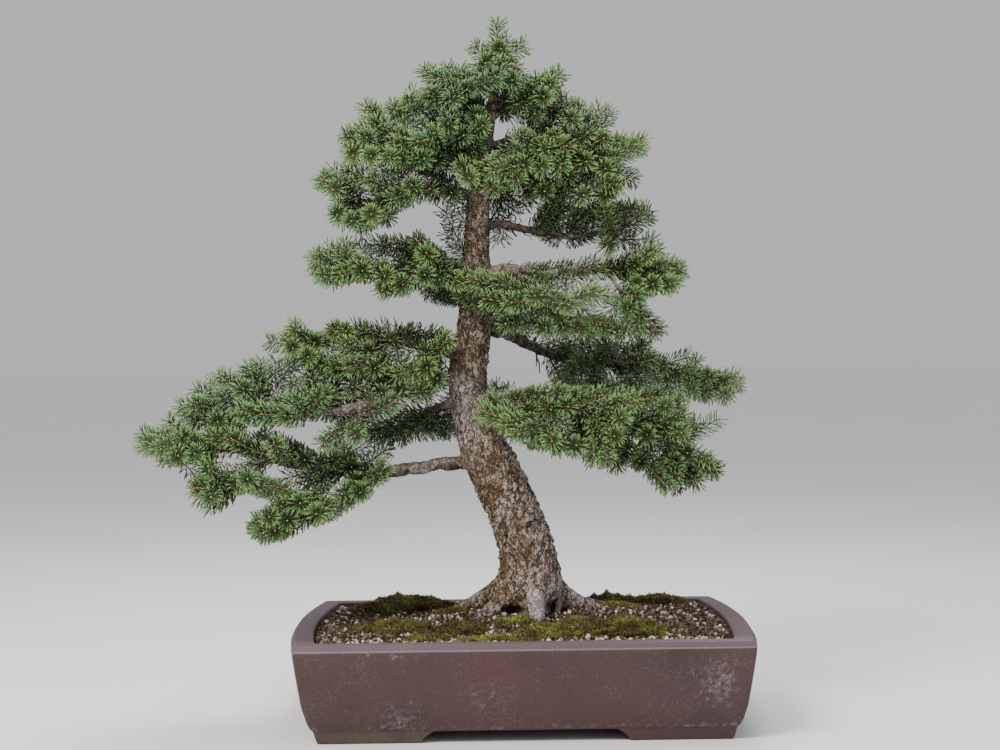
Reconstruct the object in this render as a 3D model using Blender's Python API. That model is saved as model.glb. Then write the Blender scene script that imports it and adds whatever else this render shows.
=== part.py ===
# Spruce bonsai in a shallow rectangular stoneware pot.
# Lengths are in millimetres until addObject scales a mesh into metres.
# X runs left to right, Y from the front to the back, Z up, with the feet of the pot standing on Z = 0.

import math
import random

import bmesh
import bpy
from mathutils import Matrix, Vector, noise
from mathutils.bvhtree import BVHTree

MM = 0.001
GAP = 0.3

# Pot: half sizes at the widest level, bow of the short ends, and (inset, height) profiles
POT_HALF_X = 225.0
POT_HALF_Y = 166.0
OUTER_BOW = 14.0
INNER_BOW = 11.0
END_STEPS = 8
OUTER_PROFILE = [(17.5, 12.0), (15.3, 14.2), (12.1, 20.0), (8.0, 35.0), (4.9, 54.0),
                 (1.7, 75.0), (0.0, 88.5), (0.0, 92.5), (4.2, 99.0)]
INNER_PROFILE = [(19.4, 99.0), (20.4, 97.8), (20.8, 62.0), (21.8, 28.0), (25.0, 24.0)]
FOOT_ARM_X = 118.0
FOOT_ARM_Y = 86.0
FOOT_WIDTH = 25.0
FOOT_INSET = 17.6
# inset of the foot's outer faces, height, and how much shorter the two arms are at that height
FOOT_PROFILE = [(FOOT_INSET, 13.5, 0.0), (FOOT_INSET, 12.0, 0.0), (18.4, 5.0, 9.0), (21.0, 0.0, 13.0)]
DRAIN_X = 105.0
DRAIN_RADIUS = 12.5
DRAIN_SIDES = 20
FLOOR_LEVEL = 24.0

# Drainage mesh: a thin square with round openings over each drain hole
MESH_HALF = 20.0
MESH_THICK = 1.6
MESH_OPENING = 6.0
MESH_PITCH = 16.0

# Soil
SOIL_EDGE = 95.0
SOIL_MOUND = 11.0
MOUND_CENTRE = (10.0, 22.0)
MOUND_SPREAD = (120.0, 95.0)
GRIT = 1.3
SOIL_CELLS_X = 19
SOIL_CELLS_Y = 12
SOIL_RINGS = [(22.1, 28.2), (25.4, FLOOR_LEVEL + GAP)]

# Moss cushions: centre X, centre Y, half length, half width, height above the soil, turn in degrees
MOSS = {
    "moss_rear_left": (-130.0, 90.0, 56.0, 40.0, 15.0, 8.0),
    "moss_front_left": (-134.0, -50.0, 44.0, 30.0, 8.0, -12.0),
    "moss_centre": (-62.0, -72.0, 25.0, 36.0, 7.0, 16.0),
    "moss_front": (26.0, -103.0, 33.0, 30.0, 10.0, 5.0),
    "moss_right": (104.0, -88.0, 41.0, 34.0, 13.0, -6.0),
}
MOSS_SUNK = 5.0
MOSS_SEGMENTS = 14
MOSS_RINGS = 6

# Trunk centre line: X, Y, Z, radius
TRUNK = [(8, 25, 66, 30), (9, 25, 94, 37), (10, 25, 110, 40), (10, 25, 126, 38.5), (10, 25, 140, 34.5),
         (9, 25, 156, 31), (6, 24, 174, 29.5), (0, 23, 196, 28), (-8, 22, 216, 27), (-19, 21, 240, 27),
         (-30, 20, 262, 26.5), (-40, 19, 286, 24.5), (-48, 18, 310, 22), (-52, 16, 334, 20.8),
         (-54, 15, 356, 20.6), (-51, 14, 383, 19.6), (-46, 12, 411, 18.2), (-45, 11, 436, 17),
         (-43, 10, 465, 15.4), (-43, 8, 491, 13.8), (-41, 6, 534, 12.6), (-38, 4, 565, 11),
         (-34, 2, 597, 8.8), (-29, 0, 624, 7.2), (-24, 0, 648, 5.4), (-20, 0, 666, 3.2)]
TRUNK_STEP = 17.0
TRUNK_SIDES = 12
LIMB_STEP = 36.0
LIMB_SIDES = 6
ROOT_STEP = 24.0
ROOT_SIDES = 6
TWIG_SIDES = 4
BARK_DEPTH = 1.5
ROOT_BARK = 0.6
# the bark's relief starts at the soil and fades out over this height, but never under the least share
BARK_FROM = 106.0
BARK_FADE = 520.0
BARK_LEAST = 0.25
# trunk points under this height are the ones that the hole in the soil is cut from
BURIED_BELOW = 145.0

# Surface roots: X, Y, Z, radius from inside the trunk down into the soil
ROOTS = [
    [(-4, 26, 138, 17), (-30, 34, 118, 14), (-54, 44, 107, 9.5), (-78, 54, 98, 4.5)],
    [(12, 10, 142, 13), (15, -8, 118, 9.5), (15, -18, 104, 9), (16, -24, 94, 6)],
    [(22, 22, 140, 16), (46, 34, 118, 12.5), (70, 46, 106, 8.5), (94, 54, 97, 4.5)],
    [(24, 34, 134, 12), (54, 56, 111, 8), (86, 74, 103, 5), (112, 86, 96, 3.5)],
    [(0, 36, 136, 14), (-14, 62, 114, 10), (-24, 82, 102, 6), (-32, 98, 94, 4)],
    [(16, 38, 136, 13), (30, 66, 113, 9), (40, 88, 102, 6), (48, 104, 94, 4)],
    [(-2, 14, 136, 14), (-22, 4, 115, 10), (-40, -6, 104, 7), (-54, -14, 95, 4)],
]

# Limbs: X, Y, Z, radius from inside the trunk outwards
LIMBS = [
    [(-34, 20, 268, 9), (-67, 20, 265, 7.6), (-106, 10, 260, 6.8), (-153, -8, 255, 6), (-198, -24, 261, 5),
     (-250, -36, 271, 4), (-296, -42, 283, 2.8)],
    [(-52, 15, 378, 8), (-78, 17, 386, 6.4), (-120, 21, 394, 5.2), (-165, 24, 399, 4.2),
     (-206, 22, 404, 2.8)],
    [(-56, 14, 351, 9), (-84, 6, 356, 7.6), (-116, -5, 350, 7), (-150, -16, 333, 6.2), (-190, -28, 323, 5),
     (-232, -26, 325, 4), (-275, -15, 336, 2.8)],
    [(-54, 20, 332, 7), (-78, 36, 326, 5), (-108, 54, 314, 3)],
    [(-44, 10, 476, 7), (-70, 7, 478, 5.4), (-108, 3, 474, 4.4), (-150, -4, 472, 2.8)],
    [(-42, 5, 544, 6), (-62, 4, 553, 5), (-100, 0, 555, 4), (-140, -5, 554, 2.7)],
    [(-36, 3, 584, 5), (-58, 1, 594, 4.2), (-84, -2, 599, 3.5), (-106, -5, 603, 2.6)],
    [(-28, 0, 634, 3.6), (-48, 0, 648, 2.5)],
    [(-26, 0, 640, 3.4), (-4, -2, 652, 2.5)],
    [(-26, 2, 636, 3.4), (-18, 16, 642, 2.4)],
    [(-34, 2, 598, 5), (-10, 1, 606, 4.2), (26, 0, 610, 3.6), (62, 0, 612, 2.6)],
    [(-34, 6, 596, 3.8), (-6, 20, 604, 2.5)],
    [(-42, 6, 518, 6), (-20, 7, 518, 5), (2, 2, 514, 4.4), (30, 0, 508, 3.8), (70, 4, 504, 2.7)],
    [(-42, 10, 461, 7.5), (-18, 8, 470, 6), (24, 0, 466, 5.2), (72, 0, 467, 4.2), (120, 3, 469, 2.8)],
    [(-14, 8, 469, 4.4), (4, -18, 460, 3.6), (20, -40, 453, 2.7)],
    [(-44, 18, 402, 9), (-22, 26, 406, 7.4), (12, 58, 391, 6.4), (48, 86, 377, 5.4), (108, 99, 368, 4.4),
     (165, 100, 361, 2.8)],
    [(-50, 12, 324, 9), (-26, 10, 333, 7.4), (12, 2, 334, 6.4), (62, -6, 327, 5.4), (105, -14, 316, 4.2),
     (134, -19, 307, 2.8)],
    [(-46, 4, 324, 7), (-14, -32, 328, 5.6), (22, -64, 327, 4.4), (60, -88, 326, 2.8)],
    [(-46, 26, 306, 7), (-32, 70, 317, 5), (-22, 110, 324, 2.8)],
    [(-46, 18, 438, 6), (-58, 55, 446, 4.4), (-68, 85, 450, 2.7)],
    [(-38, 8, 561, 5), (-22, 45, 568, 2.6)],
]

# Leafy sprays: the point on a limb that each one grows from, then the tips of its shoots, the main one first
SPRAYS = {
    "spray_l1_tip": [(-296, -42, 283), (-397, -50, 304), (-372, -22, 318), (-366, -84, 278)],
    "spray_l1_low": [(-184, -20, 259), (-264, -104, 200), (-224, -114, 232), (-196, -92, 226)],
    "spray_l1_front": [(-258, -37, 272), (-336, -92, 246), (-318, -104, 228), (-262, -98, 252)],
    "spray_l1_inner": [(-158, -10, 256), (-164, -90, 240), (-136, -78, 268)],
    "spray_l1_top": [(-236, -34, 268), (-250, -102, 296), (-300, -78, 300)],
    "spray_l1_rear": [(-276, -39, 278), (-330, 24, 310), (-268, 34, 298)],
    "spray_l1_back": [(-170, -14, 257), (-196, 56, 288), (-140, 52, 280)],
    "spray_l2_tip": [(-206, 22, 404), (-272, 12, 394), (-238, -22, 414), (-250, 46, 406)],
    "spray_l2_front": [(-140, 22, 396), (-150, -52, 364), (-186, -34, 392)],
    "spray_l2_inner": [(-94, 19, 390), (-96, -52, 364), (-72, -46, 398)],
    "spray_l2_rear": [(-150, 23, 398), (-166, 94, 400), (-108, 84, 408), (-212, 66, 406)],
    "spray_l3_tip": [(-275, -15, 336), (-366, 2, 328), (-350, 28, 348), (-344, -46, 332)],
    "spray_l3_up": [(-246, -22, 329), (-292, 8, 375), (-322, -14, 362)],
    "spray_l3_front": [(-214, -27, 324), (-240, -98, 320), (-290, -76, 324), (-196, -92, 346)],
    "spray_l3_low": [(-166, -21, 329), (-168, -94, 296), (-122, -80, 336), (-206, -86, 288)],
    "spray_l3_back": [(-180, -25, 325), (-196, 50, 318), (-244, 36, 328), (-150, 40, 328)],
    "spray_l2_low": [(-108, 54, 314), (-172, 64, 296), (-130, 98, 287), (-74, 96, 296)],
    "spray_l4_tip": [(-150, -4, 472), (-221, -20, 477), (-204, -52, 461), (-184, 30, 504)],
    "spray_l4_low": [(-122, 1, 473), (-142, -64, 444), (-172, -50, 478)],
    "spray_l4_front": [(-80, 6, 477), (-96, -64, 486), (-58, -62, 452)],
    "spray_l4_back": [(-98, 4, 475), (-126, 76, 486), (-84, 76, 492)],
    "spray_l5_tip": [(-140, -5, 554), (-212, -20, 568), (-194, 14, 542)],
    "spray_l5_rear": [(-116, -2, 554), (-172, 52, 520), (-124, 66, 554)],
    "spray_l5_front": [(-94, 0, 555), (-110, -70, 554), (-156, -54, 562)],
    "spray_l6_tip": [(-106, -5, 603), (-187, -12, 615), (-164, 12, 651)],
    "spray_l6_front": [(-80, -1, 598), (-86, -68, 608), (-132, -54, 596)],
    "spray_l6_back": [(-70, 0, 596), (-98, 58, 618), (-150, 44, 610)],
    "spray_l7": [(-48, 0, 648), (-102, 0, 686), (-95, -40, 648), (-48, -54, 652), (-78, 42, 666)],
    "spray_top": [(-20, 0, 666), (-18, 0, 738), (-48, -8, 710), (16, 6, 710), (-14, -34, 696)],
    "spray_r7": [(-4, -2, 652), (54, 2, 681), (50, 24, 658), (30, -46, 644)],
    "spray_r7_back": [(-18, 16, 642), (-6, 72, 650), (-46, 60, 652)],
    "spray_r6_tip": [(62, 0, 612), (141, 0, 596), (104, 16, 644), (96, 52, 610)],
    "spray_r6_low": [(46, 0, 611), (128, -28, 558), (106, -46, 580), (74, -40, 560)],
    "spray_r6_front": [(18, 0, 609), (54, -68, 591), (0, -70, 604)],
    "spray_r6_back": [(-6, 20, 604), (40, 76, 610), (-16, 92, 606)],
    "spray_r5_tip": [(70, 4, 504), (149, 20, 529), (134, 46, 503), (92, -34, 488)],
    "spray_r5_back": [(44, 1, 506), (76, 72, 512), (28, 70, 516)],
    "spray_r4_tip": [(120, 3, 469), (183, 10, 468), (152, 38, 496), (118, 60, 468)],
    "spray_r4_low": [(94, 1, 468), (147, -62, 398), (124, -56, 436)],
    "spray_r4_front": [(20, -40, 453), (52, -112, 426), (-13, -96, 430), (96, -96, 440)],
    "spray_r3_tip": [(165, 100, 361), (255, 90, 343), (208, 126, 374), (214, 60, 356)],
    "spray_r3_inner": [(110, 99, 368), (92, 36, 394), (152, 44, 372)],
    "spray_r3_back": [(78, 93, 373), (98, 166, 372), (46, 152, 382)],
    "spray_r2_tip": [(134, -19, 307), (211, -32, 253), (186, -64, 241), (194, 30, 306)],
    "spray_r2_low": [(96, -12, 319), (150, -92, 240), (96, -76, 262)],
    "spray_r1_tip": [(60, -88, 326), (119, -124, 333), (84, -132, 270)],
    "spray_r1_low": [(26, -66, 327), (30, -134, 290), (-21, -108, 308), (-46, -82, 324)],
    "spray_rear": [(-22, 110, 324), (-16, 190, 328), (36, 162, 312), (-62, 158, 318)],
    "spray_rear_mid": [(-68, 85, 450), (-82, 156, 456), (-24, 134, 458)],
}
TWIG_REACH = 10.0
TWIG_RADII = (2.3, 2.0)
CORE_RADII = (1.9, 1.1)
SIDE_RADII = (1.5, 1.0)
SIDE_START = 0.16
SIDE_STEP = 0.2
NEEDLE = 10.5
NEEDLE_BASE = 1.3
LEAN = 42.0
STAR_LEAN = 58.0
LEAN_DRIFT = 7.0
TURN_DRIFT = 14.0
STAR_REACH = 8.0
FIRST_WHORL = 16.0
WHORL_STEP = 22.0
SHOOT_SAG = 0.10
BUD = 2.4
LENGTH_STEPS = 12
# a needle that would cross another piece is drawn in by this share, so many times at most
DRAW_IN = 0.55
DRAW_TRIES = 9
# a shoot whose core would cross one is tried again with its tip moved a little further each time
FIT_SHIFT = 1.4
FIT_TRIES = 12

random.seed(11)


def clearScene():
    for obj in list(bpy.data.objects):
        bpy.data.objects.remove(obj)


def makeMaterial(name, colour, roughness):
    material = bpy.data.materials.new(name)
    material.use_nodes = True
    shader = material.node_tree.nodes["Principled BSDF"]
    shader.inputs["Base Color"].default_value = (*colour, 1.0)
    shader.inputs["Roughness"].default_value = roughness
    return material


# Scales the mesh from millimetres to metres and puts it in the scene.
def addObject(bm, name, material):
    bmesh.ops.scale(bm, vec=(MM, MM, MM), verts=bm.verts)
    bmesh.ops.recalc_face_normals(bm, faces=bm.faces)
    mesh = bpy.data.meshes.new(name)
    bm.to_mesh(mesh)
    bm.free()
    obj = bpy.data.objects.new(name, mesh)
    mesh.materials.append(material)
    bpy.context.scene.collection.objects.link(obj)
    return obj


def bakeModifiers(obj):
    graph = bpy.context.evaluated_depsgraph_get()
    mesh = bpy.data.meshes.new_from_object(obj.evaluated_get(graph))
    material = obj.data.materials[0]
    obj.modifiers.clear()
    obj.data = mesh
    mesh.materials.clear()
    mesh.materials.append(material)
    for polygon in mesh.polygons:
        polygon.material_index = 0


# One Boolean of the target with all tools at once. The tools are removed afterwards.
def applyBoolean(target, tools, operation, solver="EXACT"):
    group = bpy.data.collections.new("cutters_" + target.name)
    bpy.context.scene.collection.children.link(group)
    group.hide_render = True
    for tool in tools:
        bpy.context.scene.collection.objects.unlink(tool)
        group.objects.link(tool)
        tool.hide_render = True
        tool.display_type = "WIRE"
    modifier = target.modifiers.new("fuse", "BOOLEAN")
    modifier.operation = operation
    modifier.solver = solver
    modifier.operand_type = "COLLECTION"
    modifier.collection = group
    bakeModifiers(target)
    for tool in tools:
        bpy.data.objects.remove(tool)
    bpy.data.collections.remove(group)


# A closed skin through rings with the same number of points, capped at both ends.
def loft(rings):
    bm = bmesh.new()
    loops = [[bm.verts.new(point) for point in ring] for ring in rings]
    count = len(loops[0])
    for low, high in zip(loops, loops[1:]):
        for k in range(count):
            n = (k + 1) % count
            bm.faces.new((low[k], low[n], high[n], high[k]))
    bm.faces.new(loops[0])
    bm.faces.new(loops[-1])
    return bm


# Maps the square -1..1 to the pot's outline at an inset: straight long sides, bowed short ends.
def outlinePoint(u, v, inset, bow):
    halfX = POT_HALF_X - inset + bow * (1.0 - v * v)
    return (u * halfX, v * (POT_HALF_Y - inset))


def potRing(inset, height, bow):
    right = [outlinePoint(1.0, -1.0 + 2.0 * k / END_STEPS, inset, bow) for k in range(END_STEPS + 1)]
    left = [outlinePoint(-1.0, 1.0 - 2.0 * k / END_STEPS, inset, bow) for k in range(END_STEPS + 1)]
    return [(x, y, height) for x, y in right + left]


# An L-shaped corner foot whose arms end in a hollow sweep.
def makeFoot(signX, signY, clay):
    rings = []
    for inset, height, shorter in FOOT_PROFILE:
        x = POT_HALF_X - inset
        y = POT_HALF_Y - inset
        endX = POT_HALF_X - FOOT_INSET - FOOT_ARM_X + shorter
        endY = POT_HALF_Y - FOOT_INSET - FOOT_ARM_Y + shorter
        backX = POT_HALF_X - FOOT_INSET - FOOT_WIDTH
        backY = POT_HALF_Y - FOOT_INSET - FOOT_WIDTH
        corner = [(x, y), (x, endY), (backX, endY), (backX, backY), (endX, backY), (endX, y)]
        rings.append([(signX * px, signY * py, height) for px, py in corner])
    return addObject(loft(rings), "foot", clay)


def makeCylinder(name, x, y, low, high, radius, sides, material):
    bm = bmesh.new()
    place = Matrix.Translation((x, y, 0.5 * (low + high)))
    bmesh.ops.create_cone(bm, cap_ends=True, segments=sides, radius1=radius, radius2=radius,
                          depth=high - low, matrix=place)
    return addObject(bm, name, material)


def makePot(clay):
    rings = [potRing(inset, height, OUTER_BOW) for inset, height in OUTER_PROFILE]
    rings += [potRing(inset, height, INNER_BOW) for inset, height in INNER_PROFILE]
    pot = addObject(loft(rings), "pot", clay)
    feet = [makeFoot(signX, signY, clay) for signX in (-1, 1) for signY in (-1, 1)]
    applyBoolean(pot, feet, "UNION")
    drains = [makeCylinder("drain", x, 0.0, 6.0, 30.0, DRAIN_RADIUS, DRAIN_SIDES, clay)
              for x in (-DRAIN_X, DRAIN_X)]
    applyBoolean(pot, drains, "DIFFERENCE")
    return pot


def makeBox(name, x, y, half, low, high, material):
    bm = bmesh.new()
    size = Matrix.Diagonal((2.0 * half, 2.0 * half, high - low, 1.0))
    bmesh.ops.create_cube(bm, size=1.0, matrix=Matrix.Translation((x, y, 0.5 * (low + high))) @ size)
    return addObject(bm, name, material)


def makeDrainMeshes(plastic):
    low = FLOOR_LEVEL + GAP
    for name, x in (("drain_mesh_left", -DRAIN_X), ("drain_mesh_right", DRAIN_X)):
        sheet = makeBox(name, x, 0.0, MESH_HALF, low, low + MESH_THICK, plastic)
        openings = [makeCylinder("opening", x + i * MESH_PITCH, j * MESH_PITCH, low - 2.0, low + 4.0,
                                 MESH_OPENING, 6, plastic) for i in (-0.5, 0.5) for j in (-0.5, 0.5)]
        applyBoolean(sheet, openings, "DIFFERENCE")


def soilLevel(x, y):
    dx = (x - MOUND_CENTRE[0]) / MOUND_SPREAD[0]
    dy = (y - MOUND_CENTRE[1]) / MOUND_SPREAD[1]
    return SOIL_EDGE + SOIL_MOUND * math.exp(-dx * dx - dy * dy)


# A low cushion, sunk into the soil. With grow above zero it is the larger copy that cuts its pocket.
def makeMoss(name, material, grow):
    x, y, halfX, halfY, height, turn = MOSS[name]
    bm = bmesh.new()
    bmesh.ops.create_uvsphere(bm, u_segments=MOSS_SEGMENTS, v_segments=MOSS_RINGS, radius=1.0)
    level = soilLevel(x, y)
    middle = level + 0.5 * (height - MOSS_SUNK)
    halfZ = 0.5 * (height + MOSS_SUNK)
    place = Matrix.Translation((x, y, middle)) @ Matrix.Rotation(math.radians(turn), 4, "Z")
    for vert in bm.verts:
        around = noise.noise(Vector((vert.co.x * 2.2 + x, vert.co.y * 2.2 + y, 0.0)))
        bumps = noise.noise(Vector((vert.co.x * 4.0 - y, vert.co.y * 4.0, vert.co.z + x)))
        wide = 1.0 + 0.16 * around
        up = 1.0 + (0.25 * bumps if vert.co.z > 0.05 else 0.0)
        vert.co = Vector((vert.co.x * (halfX + grow) * wide, vert.co.y * (halfY + grow) * wide,
                          vert.co.z * (halfZ + grow) * up))
    bmesh.ops.triangulate(bm, faces=bm.faces, quad_method="FIXED")
    bmesh.ops.transform(bm, matrix=place, verts=bm.verts)
    return addObject(bm, name if grow == 0.0 else "pocket_" + name, material)


def makeSoil(material, cutters):
    bm = bmesh.new()
    bmesh.ops.create_grid(bm, x_segments=SOIL_CELLS_X, y_segments=SOIL_CELLS_Y, size=1.0)
    square = {vert: (vert.co.x, vert.co.y) for vert in bm.verts}
    inset = INNER_PROFILE[1][0] + GAP + 0.1
    for vert, (u, v) in square.items():
        x, y = outlinePoint(u, v, inset, INNER_BOW)
        grit = random.uniform(-GRIT, GRIT) if max(abs(u), abs(v)) < 0.99 else -0.4
        vert.co = Vector((x, y, soilLevel(x, y) + grit))
    rim = [edge for edge in bm.edges if edge.is_boundary]
    for inset, height in SOIL_RINGS:
        made = bmesh.ops.extrude_edge_only(bm, edges=rim)["geom"]
        rim = [item for item in made if isinstance(item, bmesh.types.BMEdge) and item.is_boundary]
        below = {}
        for vert in {vert for edge in rim for vert in edge.verts}:
            above = [edge.other_vert(vert) for edge in vert.link_edges if edge.other_vert(vert) in square]
            u, v = square[above[0]]
            x, y = outlinePoint(u, v, inset, INNER_BOW)
            vert.co = Vector((x, y, height))
            below[vert] = (u, v)
        square = below
    bmesh.ops.contextual_create(bm, geom=rim)
    soil = addObject(bm, "soil", material)
    applyBoolean(soil, cutters, "DIFFERENCE")
    return soil


# Passes a smooth curve through the points (X, Y, Z, radius), with a new point about every step.
def smoothPath(points, step):
    ends = [points[0]] + list(points) + [points[-1]]
    path = []
    for k in range(1, len(ends) - 2):
        a, b, c, d = (Vector(p) for p in ends[k - 1:k + 3])
        count = max(1, round((c - b).length / step))
        for n in range(count):
            t = n / count
            path.append(0.5 * ((2 * b) + (c - a) * t + (2 * a - 5 * b + 4 * c - d) * t * t
                               + (3 * b - a - 3 * c + d) * t * t * t))
    path.append(Vector(points[-1]))
    return path


# A tapered tube along a path of (X, Y, Z, radius), with closed ends and an optional bark relief.
def makeTube(name, path, sides, material, grow=0.0, relief=0.0):
    curve = bpy.data.curves.new(name, "CURVE")
    curve.dimensions = "3D"
    curve.bevel_depth = MM
    curve.bevel_resolution = (sides - 4) // 2
    curve.use_fill_caps = True
    spline = curve.splines.new("POLY")
    spline.points.add(len(path) - 1)
    for point, place in zip(spline.points, path):
        point.co = (place[0] * MM, place[1] * MM, place[2] * MM, 1.0)
        point.radius = place[3] + grow
    guide = bpy.data.objects.new(name, curve)
    bpy.context.scene.collection.objects.link(guide)
    graph = bpy.context.evaluated_depsgraph_get()
    mesh = bpy.data.meshes.new_from_object(guide.evaluated_get(graph))
    bpy.data.objects.remove(guide)
    bm = bmesh.new()
    bm.from_mesh(mesh)
    bmesh.ops.remove_doubles(bm, verts=bm.verts, dist=1e-6)
    bmesh.ops.scale(bm, vec=(1.0 / MM, 1.0 / MM, 1.0 / MM), verts=bm.verts)
    bm.normal_update()
    if relief:
        moves = {vert: vert.normal * relief * barkRelief(vert.co) for vert in bm.verts}
        for vert, move in moves.items():
            vert.co += move
        bmesh.ops.triangulate(bm, faces=bm.faces, quad_method="FIXED")
    return addObject(bm, name, material)


# From -1 to 1 over plates a little taller than wide, fading out towards the thin top and in the soil.
def barkRelief(place):
    if place.z < BARK_FROM:
        return 0.0
    plates = noise.noise(Vector((place.x * 0.09, place.y * 0.09, place.z * 0.06)))
    ridges = noise.noise(Vector((place.x * 0.035, place.y * 0.035, place.z * 0.012 + 9.0)))
    fade = max(BARK_LEAST, 1.0 - (place.z - BARK_FROM) / BARK_FADE)
    return fade * (0.9 * plates + 1.3 * ridges)


# The direction a spray leaves its limb, and the point where its own core begins.
def sprayStart(spray):
    base = Vector(spray[0])
    chord = Vector(spray[1]) - base
    heading = (chord.normalized() + Vector((0.0, 0.0, -2.0 * SHOOT_SAG))).normalized()
    return heading, base + heading * TWIG_REACH


def makeWood(material):
    trunk = makeTube("wood", smoothPath(TRUNK, TRUNK_STEP), TRUNK_SIDES, material, relief=BARK_DEPTH)
    grown = [makeTube("root", smoothPath(root, ROOT_STEP), ROOT_SIDES, material, relief=ROOT_BARK)
             for root in ROOTS]
    grown += [makeTube("limb", smoothPath(limb, LIMB_STEP), LIMB_SIDES, material) for limb in LIMBS]
    for spray in SPRAYS.values():
        heading, start = sprayStart(spray)
        base = Vector(spray[0])
        ends = [(*base, TWIG_RADII[0]), (*start, TWIG_RADII[1])]
        grown.append(makeTube("twig", ends, TWIG_SIDES, material))
    applyBoolean(trunk, grown, "UNION")
    return trunk


# Copies of the buried wood, larger by the gap, that cut its plain hole in the soil.
def makeWoodHoles(material):
    x, y, low, radius = TRUNK[0]
    buried = [(x, y, low - GAP, radius)] + [point for point in TRUNK[1:] if point[2] < BURIED_BELOW]
    holes = [makeTube("hole", smoothPath(buried, TRUNK_STEP), TRUNK_SIDES, material, GAP, BARK_DEPTH)]
    for root in ROOTS:
        holes.append(makeTube("hole", smoothPath(root, ROOT_STEP), ROOT_SIDES, material, GAP, ROOT_BARK))
    return holes


def whorlHeights(length, first):
    count = max(1, round((length - first) / WHORL_STEP) + 1)
    last = length - NEEDLE_BASE
    if count == 1:
        return [last]
    return [first + (last - first) * k / (count - 1) for k in range(count)]


def curvePoint(start, control, tip, t):
    return start * (1 - t) ** 2 + control * 2 * t * (1 - t) + tip * t * t


# Carries a point of a straight shoot along Z onto the curved line from start to tip.
def bentPlace(place, start, control, tip, length):
    chord = tip - start
    reference = Vector((0.0, 0.0, 1.0)) if abs(chord.normalized().z) < 0.8 else Vector((0.0, 1.0, 0.0))
    t = min(1.0, max(0.0, place.z / length))
    beyond = max(0.0, place.z - length)
    along = ((control - start) * (1 - t) + (tip - control) * t).normalized()
    side = along.cross(reference).normalized()
    up = side.cross(along)
    return curvePoint(start, control, tip, t) + along * beyond + side * place.x + up * place.y


# One shoot: a slim three-sided core with whorls of needles, drawn out of short bands of its surface.
def makeShoot(start, control, tip, radii, first):
    steps = [curvePoint(start, control, tip, k / LENGTH_STEPS) for k in range(LENGTH_STEPS + 1)]
    length = sum((b - a).length for a, b in zip(steps, steps[1:]))
    bm = bmesh.new()
    place = Matrix.Translation((0, 0, length / 2)) @ Matrix.Rotation(random.uniform(0, 2.1), 4, "Z")
    bmesh.ops.create_cone(bm, cap_ends=True, segments=3, radius1=radii[0], radius2=radii[1],
                          depth=length, matrix=place)
    heights = whorlHeights(length, first)
    for height in heights:
        for cut in (height, height + NEEDLE_BASE):
            if cut < length - 0.01:
                bmesh.ops.bisect_plane(bm, geom=bm.verts[:] + bm.edges[:] + bm.faces[:],
                                       plane_co=(0, 0, cut), plane_no=(0, 0, 1))
    bm.normal_update()
    bands = []
    for face in bm.faces:
        middle = face.calc_center_median().z
        if abs(face.normal.z) < 0.5 and any(0 < middle - height < NEEDLE_BASE for height in heights):
            bands.append(face)
    cap = [face for face in bm.faces if face.normal.z > 0.5]
    halves = bmesh.ops.triangulate(bm, faces=bands)["faces"]
    tips = bmesh.ops.poke(bm, faces=halves)["verts"]
    homes = {}
    for vert in tips:
        home = vert.co.copy()
        lean = STAR_LEAN if home.z > length - 2 * NEEDLE_BASE else LEAN
        lean = math.radians(lean + random.uniform(-LEAN_DRIFT, LEAN_DRIFT))
        turn = Matrix.Rotation(math.radians(random.uniform(-TURN_DRIFT, TURN_DRIFT)), 3, "Z")
        outward = turn @ Vector((home.x, home.y, 0)).normalized()
        reach = NEEDLE * random.uniform(0.92, 1.06)
        vert.co = home + outward * (reach * math.cos(lean)) + Vector((0, 0, reach * math.sin(lean)))
        homes[vert] = home
    bud = bmesh.ops.poke(bm, faces=cap)["verts"][0]
    bud.co.z += BUD
    for vert in bm.verts:
        vert.co = bentPlace(vert.co, start, control, tip, length)
    bm.verts.index_update()
    roots = {vert.index: bentPlace(home, start, control, tip, length) for vert, home in homes.items()}
    return bm, roots


def bounds(bm, margin):
    low = Vector([min(vert.co[axis] for vert in bm.verts) - margin for axis in range(3)])
    high = Vector([max(vert.co[axis] for vert in bm.verts) + margin for axis in range(3)])
    return low, high


def crosses(boxA, boxB):
    return all(boxA[0][axis] <= boxB[1][axis] and boxB[0][axis] <= boxA[1][axis] for axis in range(3))


# Shortens each needle that would cross another piece. False when a core would cross one.
def drawClear(bm, roots, others):
    box = bounds(bm, 0.5)
    near = [tree for otherBox, tree in others if crosses(box, otherBox)]
    for attempt in range(DRAW_TRIES):
        bm.verts.index_update()
        bm.faces.ensure_lookup_table()
        bm.verts.ensure_lookup_table()
        tree = BVHTree.FromBMesh(bm)
        hit = {pair[0] for other in near for pair in tree.overlap(other)}
        if not hit:
            return True
        moved = set()
        for index in hit:
            ends = [vert.index for vert in bm.faces[index].verts if vert.index in roots]
            if not ends:
                return False
            moved.update(ends)
        for index in moved:
            vert = bm.verts[index]
            vert.co = roots[index] + (vert.co - roots[index]) * DRAW_IN
    return False


def treeOf(obj):
    bm = bmesh.new()
    bm.from_mesh(obj.data)
    bmesh.ops.scale(bm, vec=(1.0 / MM, 1.0 / MM, 1.0 / MM), verts=bm.verts)
    found = (bounds(bm, 0.5), BVHTree.FromBMesh(bm))
    bm.free()
    return found


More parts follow.
